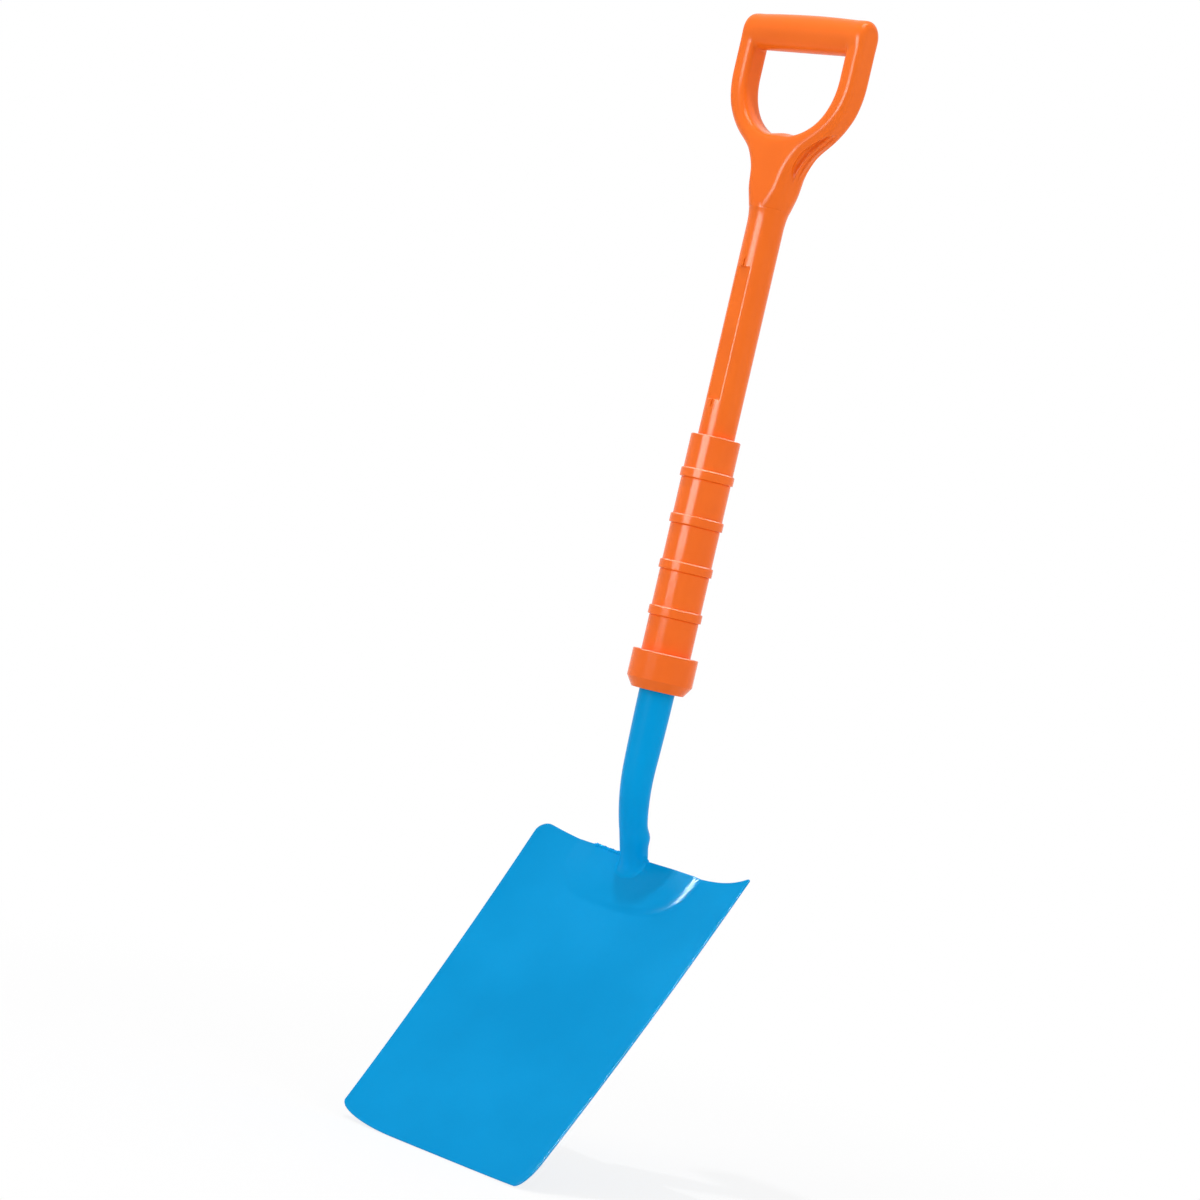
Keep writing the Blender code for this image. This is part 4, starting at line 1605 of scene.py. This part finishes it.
    def build(self, palette: Palette) -> None:
        """Make the tube with its blind bore and dress it.

        Args:
            palette: The finished materials.
        """
        stations = self.stations()
        turns = full_turn(self.sides)
        outer = self.uneven(self.rings(stations, np.zeros(self.sides), turns), stations)
        bore = [(self.core_bore, self.socket_depth), (self.core_bore, self.core_foot)]
        below = self.rings(self.neck_stations()[2:], np.full(self.sides, -self.wall), turns)
        # The socket's two turned rings run the other way round from the neck's.
        inner = np.concatenate([turned_rows(np.array(bore), self.sides), below])[::-1]
        inner[-2:, :, 1] *= -1.0
        skin = Skin()
        outside = skin.add_rows(outer, closed_across=True)
        inside = skin.add_rows(inner, closed_across=True)
        skin.add_quads(np.stack([inside[-1], outside[0]]), closed_across=True)
        skin.add_cap(outside[-1])
        skin.add_cap(inside[0], flip=True)
        item = skin.to_object("cranked_socket_tube", self.crease)
        settle(item, palette.neck_paint_lit, Slot.BLUE, "socket_tube")


@dataclass(frozen=True)
class FrontFillet:
    """Smooth weld where the front of the tube runs into the blade's face."""

    tube: SocketTube
    blade: BladeSheet
    radius_front: float = 0.0100
    radius_side: float = 0.0028
    uneven: tuple = ((0.05, 7.0, 0.8), (0.04, 13.0, 0.0))
    end_degrees: float = 1.0
    sink: float = 0.00012
    corner_reach: float = 1.08
    arc_steps: int = 10
    places: int = 90
    crease: float = 60.0

    def section_radius(self, turns: np.ndarray) -> np.ndarray:
        """Radius of the fillet round the tube, largest in front.

        Args:
            turns: Angles round the tube.

        Returns:
            The radii.
        """
        share = smooth_step(np.sin(np.clip(turns, 0.0, math.pi)))
        uneven = 1.0 + sum(height * np.sin(count * turns + phase) for height, count, phase in self.uneven)
        return (self.radius_side + (self.radius_front - self.radius_side) * share) * uneven

    def centres(self, turns: np.ndarray) -> tuple[np.ndarray, np.ndarray]:
        """Where a ball of the section's radius rests on the tube and on the sheet.

        Args:
            turns: Angles round the tube.

        Returns:
            The ball's middles, and where it touches the tube.
        """
        radius = self.section_radius(turns)
        stations = self.tube.stations()
        wide = self.tube.rings(stations, radius, turns)
        close = self.tube.rings(stations, np.zeros(len(turns)), turns)
        across, down, out = self.blade.own(wide)
        gap = out - self.blade.face_height(across, down) - self.blade.sheet / 2.0 - radius
        middles, touches = [], []
        for column in range(len(turns)):
            signs = gap[:, column] > 0.0
            row = int(np.argmax(signs[:-1] & ~signs[1:]))
            share = gap[row, column] / (gap[row, column] - gap[row + 1, column])
            middles.append(wide[row, column] * (1.0 - share) + wide[row + 1, column] * share)
            touches.append(close[row, column] * (1.0 - share) + close[row + 1, column] * share)
        return np.array(middles), np.array(touches)

    def rows(self) -> np.ndarray:
        """Sections of the fillet: its hollow arc, then the corner under both pieces.

        Returns:
            Points in closed sections, from the tube's right side to its left.
        """
        first = math.radians(self.end_degrees)
        turns = np.linspace(first, math.pi - first, self.places)
        middles, touches = self.centres(turns)
        across, down, _ = self.blade.own(middles)
        radius = self.section_radius(turns)[:, None]
        to_tube = unit(touches - middles)
        to_sheet = -self.blade.normal(across, down)
        angle = np.arccos(np.clip((to_tube * to_sheet).sum(axis=-1, keepdims=True), -1.0, 1.0))
        columns = []
        for step in range(self.arc_steps + 1):
            share = step / self.arc_steps
            way = np.sin((1.0 - share) * angle) * to_tube + np.sin(share * angle) * to_sheet
            sink = self.sink if step in (0, self.arc_steps) else 0.0
            columns.append(middles + way / np.sin(angle) * (radius + sink))
        corner = (to_tube + to_sheet) * radius / (1.0 + np.cos(angle))
        columns.append(middles + corner * self.corner_reach)
        return np.stack(columns, axis=1)

    def build(self, palette: Palette) -> None:
        """Make the fillet and dress it."""
        item = Skin.over_rings(self.rows()).to_object("front_weld_fillet", self.crease)
        settle(item, palette.weld_paint_lit, Slot.BLUE, "weld_front")


@dataclass(frozen=True)
class WeldBead:
    """A rippled weld bead along a path of its own."""

    name: str
    node: str
    path: np.ndarray
    radius: float
    ripple: float = 0.12
    phase: float = 0.0
    taper: float = 3.0
    end_size: float = 0.02
    short_wave: float = 0.0034
    long_wave: float = 0.0093
    long_share: float = 0.7
    long_phase: float = 1.7
    sides: int = 20
    least_rings: int = 12
    rings_per_metre: float = 2600.0
    crease: float = 70.0

    def dense_path(self) -> tuple[np.ndarray, np.ndarray]:
        """The path with evenly spread points, and the way run along it.

        Returns:
            The points, and how far along the path each one lies.
        """
        legs = np.linalg.norm(np.diff(self.path, axis=0), axis=1)
        run = np.concatenate([[0.0], np.cumsum(legs)])
        count = max(self.least_rings, int(run[-1] * self.rings_per_metre))
        places = np.linspace(0.0, run[-1], count)
        points = np.stack([np.interp(places, run, self.path[:, k]) for k in range(3)], axis=1)
        return points, places

    def rows(self, out_way: np.ndarray) -> np.ndarray:
        """Rings of the bead, drawn in at both ends and rippled between them.

        Args:
            out_way: Direction out of the blade, from which the rings are turned.

        Returns:
            Points in rings.
        """
        points, places = self.dense_path()
        way = unit(np.gradient(points, axis=0))
        side = np.empty_like(way)
        held = np.cross(way[-1], out_way)
        for number in reversed(range(len(way))):
            held = unit(held - way[number] * (held @ way[number]))
            side[number] = held
        lift = unit(np.cross(side, way))
        share = places / places[-1]
        ends = np.sqrt(np.clip(4.0 * share * (1.0 - share) * self.taper, self.end_size, 1.0))
        short = np.sin(2.0 * np.pi * places / self.short_wave + self.phase)
        long = np.sin(2.0 * np.pi * places / self.long_wave + self.long_phase * self.phase)
        wave = 1.0 + self.ripple * short + self.long_share * self.ripple * long
        size = self.radius * ends * wave
        turns = full_turn(self.sides)
        return (points[:, None, :]
                + side[:, None, :] * (size[:, None] * np.cos(turns))[..., None]
                + lift[:, None, :] * (size[:, None] * np.sin(turns))[..., None])

    def build(self, palette: Palette, out_way: np.ndarray) -> None:
        """Make the bead and dress it."""
        item = Skin.over_rings(self.rows(out_way)).to_object(self.name, self.crease)
        settle(item, palette.weld_paint_lit, Slot.BLUE, self.node)


@dataclass(frozen=True)
class Welds:
    """Every weld between the tube and the blade."""

    tube: SocketTube
    blade: BladeSheet
    edge_radius: float = 0.0019
    back_radius: float = 0.0030
    left_edge_run: float = 0.0420
    under_tube: float = 0.0010
    below_edge: float = 0.0008
    corner_reach: float = 0.0055
    tang_ends: tuple = (0.04, 0.92)
    beside_tang: float = 0.0006
    tang_depth_share: float = 0.25
    points: int = 24

    def edge_path(self, side: Side, run: float) -> np.ndarray:
        """Path of a bead on the top edge, beside the tube.

        Args:
            side: The side of the tube.
            run: How far out the bead runs.

        Returns:
            Points of the path.
        """
        radius = self.tube.neck_radius
        across = side.value * np.linspace(radius - self.under_tube, radius + run, self.points)
        down = self.blade.top_edge(across) + self.below_edge
        return self.blade.place(across, down, self.blade.face_height(across, down))

    def corner_path(self) -> np.ndarray:
        """Path of the hollow bead from the tube's right side out along the top edge.

        Returns:
            Points of the path.
        """
        turn = np.linspace(0.0, 0.5 * np.pi, self.points)
        reach = self.corner_reach + self.edge_radius
        across = self.tube.neck_radius + self.corner_reach - reach * np.cos(turn)
        above = self.corner_reach - reach * np.sin(turn)
        lean = self.blade.lift + self.tube.crank_lean
        rise, sunk = np.maximum(above, 0.0), np.maximum(-above, 0.0)
        down = self.blade.top_edge(across) + sunk - rise * math.cos(lean)
        return self.blade.place(across, down, self.blade.face_height(across, down) + rise * math.sin(lean))

    def back_path(self, side: Side) -> np.ndarray:
        """Path of the weld behind the blade, down one side of the tang.

        Args:
            side: The side of the tang.

        Returns:
            Points of the path.
        """
        start, run = self.tang_ends
        share = start + run * np.linspace(0.0, 1.0, self.points)
        down = self.tube.flatten_reach + self.tube.tang_length * share
        across = np.full(self.points, side.value * (self.tube.tang_half_width + self.beside_tang))
        sunk = self.tube.tang_thickness * self.tang_depth_share
        out = np.array([self.tube.under_sheet(value) for value in down]) - sunk
        return self.blade.place(across, down, out)

    def build(self, palette: Palette) -> None:
        """Make the fillet in front and the four beads.

        Args:
            palette: The finished materials.
        """
        FrontFillet(self.tube, self.blade).build(palette)
        out_way = self.blade.out_way
        edge, back = self.edge_radius, self.back_radius
        left_edge = self.edge_path(Side.LEFT, self.left_edge_run)
        beads = (
            WeldBead("edge_weld_bead_left", "weld_edge_left", left_edge, edge, ripple=0.16, phase=0.9),
            WeldBead("edge_weld_bead_right", "weld_edge_right", self.corner_path(), edge,
                     ripple=0.04, phase=2.1, taper=1.2),
            WeldBead("back_weld_bead_left", "weld_back_left", self.back_path(Side.LEFT), back, phase=0.4),
            WeldBead("back_weld_bead_right", "weld_back_right", self.back_path(Side.RIGHT), back, phase=3.0),
        )
        for bead in beads:
            bead.build(palette, out_way)


# Hidden pieces.


@dataclass(frozen=True)
class HiddenCore:
    """The rod and the rivets inside, which keep their CAD shapes."""

    nodes: dict

    def dress(self, palette: Palette) -> None:
        """Give the carried-over nodes their finishes.

        Args:
            palette: The finished materials.
        """
        dress(self.nodes["shaft_core"], palette.fibre)
        for name in ("socket_rivet_lower", "socket_rivet_upper"):
            dress(self.nodes[name], palette.steel)
        LOG.info("shaft_core and two rivets keep their CAD shapes")


# Studio.


@dataclass(frozen=True)
class Softbox:
    """One rectangular lamp that looks at a point of the shovel. A reflector shows in the gloss only."""

    name: str
    place: tuple
    target: tuple
    width: float
    height: float
    power: float
    reflector: bool = False
    spread: float = 180.0

    def hang(self) -> None:
        """Make the lamp."""
        lamp = bpy.data.lights.new(self.name, "AREA")
        lamp.shape = "RECTANGLE"
        lamp.size = self.width
        lamp.size_y = self.height
        lamp.energy = self.power
        lamp.spread = math.radians(self.spread)
        item = bpy.data.objects.new(self.name, lamp)
        item.location = self.place
        way = Vector(self.target) - Vector(self.place)
        item.rotation_euler = way.to_track_quat("-Z", "Y").to_euler()
        item.visible_diffuse = not self.reflector
        item.visible_glossy = self.reflector
        item.visible_camera = False
        bpy.context.scene.collection.objects.link(item)


@dataclass(frozen=True)
class Studio:
    """Pale floor, white surroundings, soft lamps and the photograph's camera."""

    camera_place: tuple = (2.0362, -2.2614, -0.5019)
    camera_right: tuple = (0.70893, 0.66793, 0.22648)
    camera_up: tuple = (-0.16652, -0.15353, 0.97402)
    camera_back: tuple = (0.68534, -0.72822, 0.002375)
    lens: float = 103.95
    sensor: float = 36.0
    clips: tuple = (0.05, 100.0)
    fill: float = 0.72
    floor_colour: tuple = (0.84, 0.84, 0.84, 1.0)
    floor_place: tuple = (0.0, -0.10)
    floor_size: float = 4.4
    shadow_reach: float = 0.25
    shadow_white: float = 0.80
    floor_reach: float = 1.1
    softboxes: tuple = (
        Softbox("key_lamp", (-0.60, -2.50, 0.20), (0.0, 0.0, -0.35), 1.00, 1.00, 16.0),
        Softbox("side_lamp", (2.20, 0.40, 0.00), (0.0, 0.0, -0.30), 1.6, 2.0, 14.0),
        Softbox("top_lamp", (-0.21, -0.34, 1.60), (0.0, 0.0, -0.60), 0.05, 0.05, 19.0),
        Softbox("streak_panel", (-0.13, -2.60, 0.03), (0.0, 0.0, -0.10), 1.55, 0.96, 98.0, True),
        Softbox("boss_panel", (-0.108, -0.863, -0.039), (-0.108, -0.113, -0.839), 0.11, 0.56, 5.2,
                True, 44.0),
        Softbox("over_panel", (0.30, -0.50, 1.90), (0.0, 0.0, -0.30), 1.20, 1.20, 52.0, True),
        Softbox("lip_panel", (0.0, 0.0, -0.20), (0.0, 0.0, -1.0), 0.80, 0.80, 16.0, True, 120.0),
    )

    def set_camera(self) -> None:
        """Make the camera at the photograph's viewing angle."""
        lens = bpy.data.cameras.new("photo_camera")
        lens.sensor_width = self.sensor
        lens.lens = self.lens
        lens.clip_start, lens.clip_end = self.clips
        camera = bpy.data.objects.new("photo_camera", lens)
        turn = Matrix((self.camera_right, self.camera_up, self.camera_back)).transposed().to_4x4()
        camera.matrix_world = Matrix.Translation(self.camera_place) @ turn
        bpy.context.scene.collection.objects.link(camera)
        bpy.context.scene.camera = camera

    @staticmethod
    def white_share(pen: NodePen) -> bpy.types.Node:
        """1 for what the camera, a reflection or a see-through surface shows, else 0.

        Args:
            pen: The pen of the tree that needs the share.

        Returns:
            The node whose output is the share.
        """
        path = pen.add("ShaderNodeLightPath")
        source, output = path, "Is Camera Ray"
        for name in ("Is Glossy Ray", "Is Transmission Ray"):
            larger = pen.add("ShaderNodeMath", operation="MAXIMUM")
            pen.link(source, output, larger, 0)
            pen.link(path, name, larger, 1)
            source, output = larger, 0
        return source

    def set_world(self) -> None:
        """White surroundings where they show, and an even fill light elsewhere."""
        world = bpy.data.worlds.new("studio_white")
        pen = NodePen(world)
        fill = pen.add("ShaderNodeBackground", Color=WHITE, Strength=self.fill)
        white = pen.add("ShaderNodeBackground", Color=WHITE, Strength=1.0)
        pen.blend(self.white_share(pen), fill, white, "ShaderNodeOutputWorld")
        bpy.context.scene.world = world

    def floor_material(self) -> bpy.types.Material:
        """A matt white floor that keeps a soft shadow.

        Returns:
            The new material.
        """
        material = bpy.data.materials.new("studio_floor")
        pen = NodePen(material)
        matt = pen.add("ShaderNodeBsdfDiffuse", Color=self.floor_colour)
        white = pen.add("ShaderNodeEmission", Strength=1.0)
        away = pen.add("ShaderNodeVectorMath", operation="LENGTH")
        pen.link(pen.add("ShaderNodeTexCoord"), "Object", away, 0)
        fade = pen.add("ShaderNodeMapRange", interpolation_type="SMOOTHSTEP", From_Min=self.shadow_reach,
                       From_Max=self.floor_reach, To_Min=self.shadow_white, To_Max=1.0)
        pen.link(away, "Value", fade, "Value")
        part = pen.add("ShaderNodeMath", operation="MULTIPLY")
        pen.link(self.white_share(pen), 0, part, 0)
        pen.link(fade, "Result", part, 1)
        pen.blend(part, matt, white, "ShaderNodeOutputMaterial")
        return material

    def lay_floor(self, height: float) -> None:
        """Make the floor under the blade's mouth.

        Args:
            height: Height of the shovel's lowest point.
        """
        reach = self.floor_size
        corners = [(-reach, -reach, 0.0), (reach, -reach, 0.0), (reach, reach, 0.0), (-reach, reach, 0.0)]
        mesh = bpy.data.meshes.new("studio_floor")
        mesh.from_pydata(corners, [], [(0, 1, 2, 3)])
        mesh.materials.append(self.floor_material())
        floor = bpy.data.objects.new("studio_floor", mesh)
        floor.location = (*self.floor_place, height)
        bpy.context.scene.collection.objects.link(floor)
        floor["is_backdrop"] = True

    def build(self, lowest: float) -> None:
        """Set the camera, the world, the lamps and the floor.

        Args:
            lowest: Height of the shovel's lowest point.
        """
        scene = bpy.context.scene
        scene.view_settings.view_transform = "Standard"
        self.set_camera()
        self.set_world()
        for softbox in self.softboxes:
            softbox.hang()
        self.lay_floor(lowest)
        LOG.info("studio with %d lamps", len(self.softboxes))


# The whole shovel.


def main() -> None:
    """Load the frame, build every piece in order and light the shovel."""
    logging.basicConfig(level=logging.INFO, format="%(name)s %(message)s")
    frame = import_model()
    cad_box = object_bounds()
    palette = Palette.mixed()
    blade = BladeSheet()
    tube = SocketTube(blade)
    HiddenCore(frame["nodes"]).dress(palette)
    ShaftCover().build(palette)
    HandSleeve().build(palette)
    FootCollar().build(palette)
    DGrip().build(palette)
    blade.build(palette, tube)
    tube.build(palette)
    Welds(tube, blade).build(palette)
    Studio().build(cad_box[0].z)


if __name__ == "__main__":
    main()
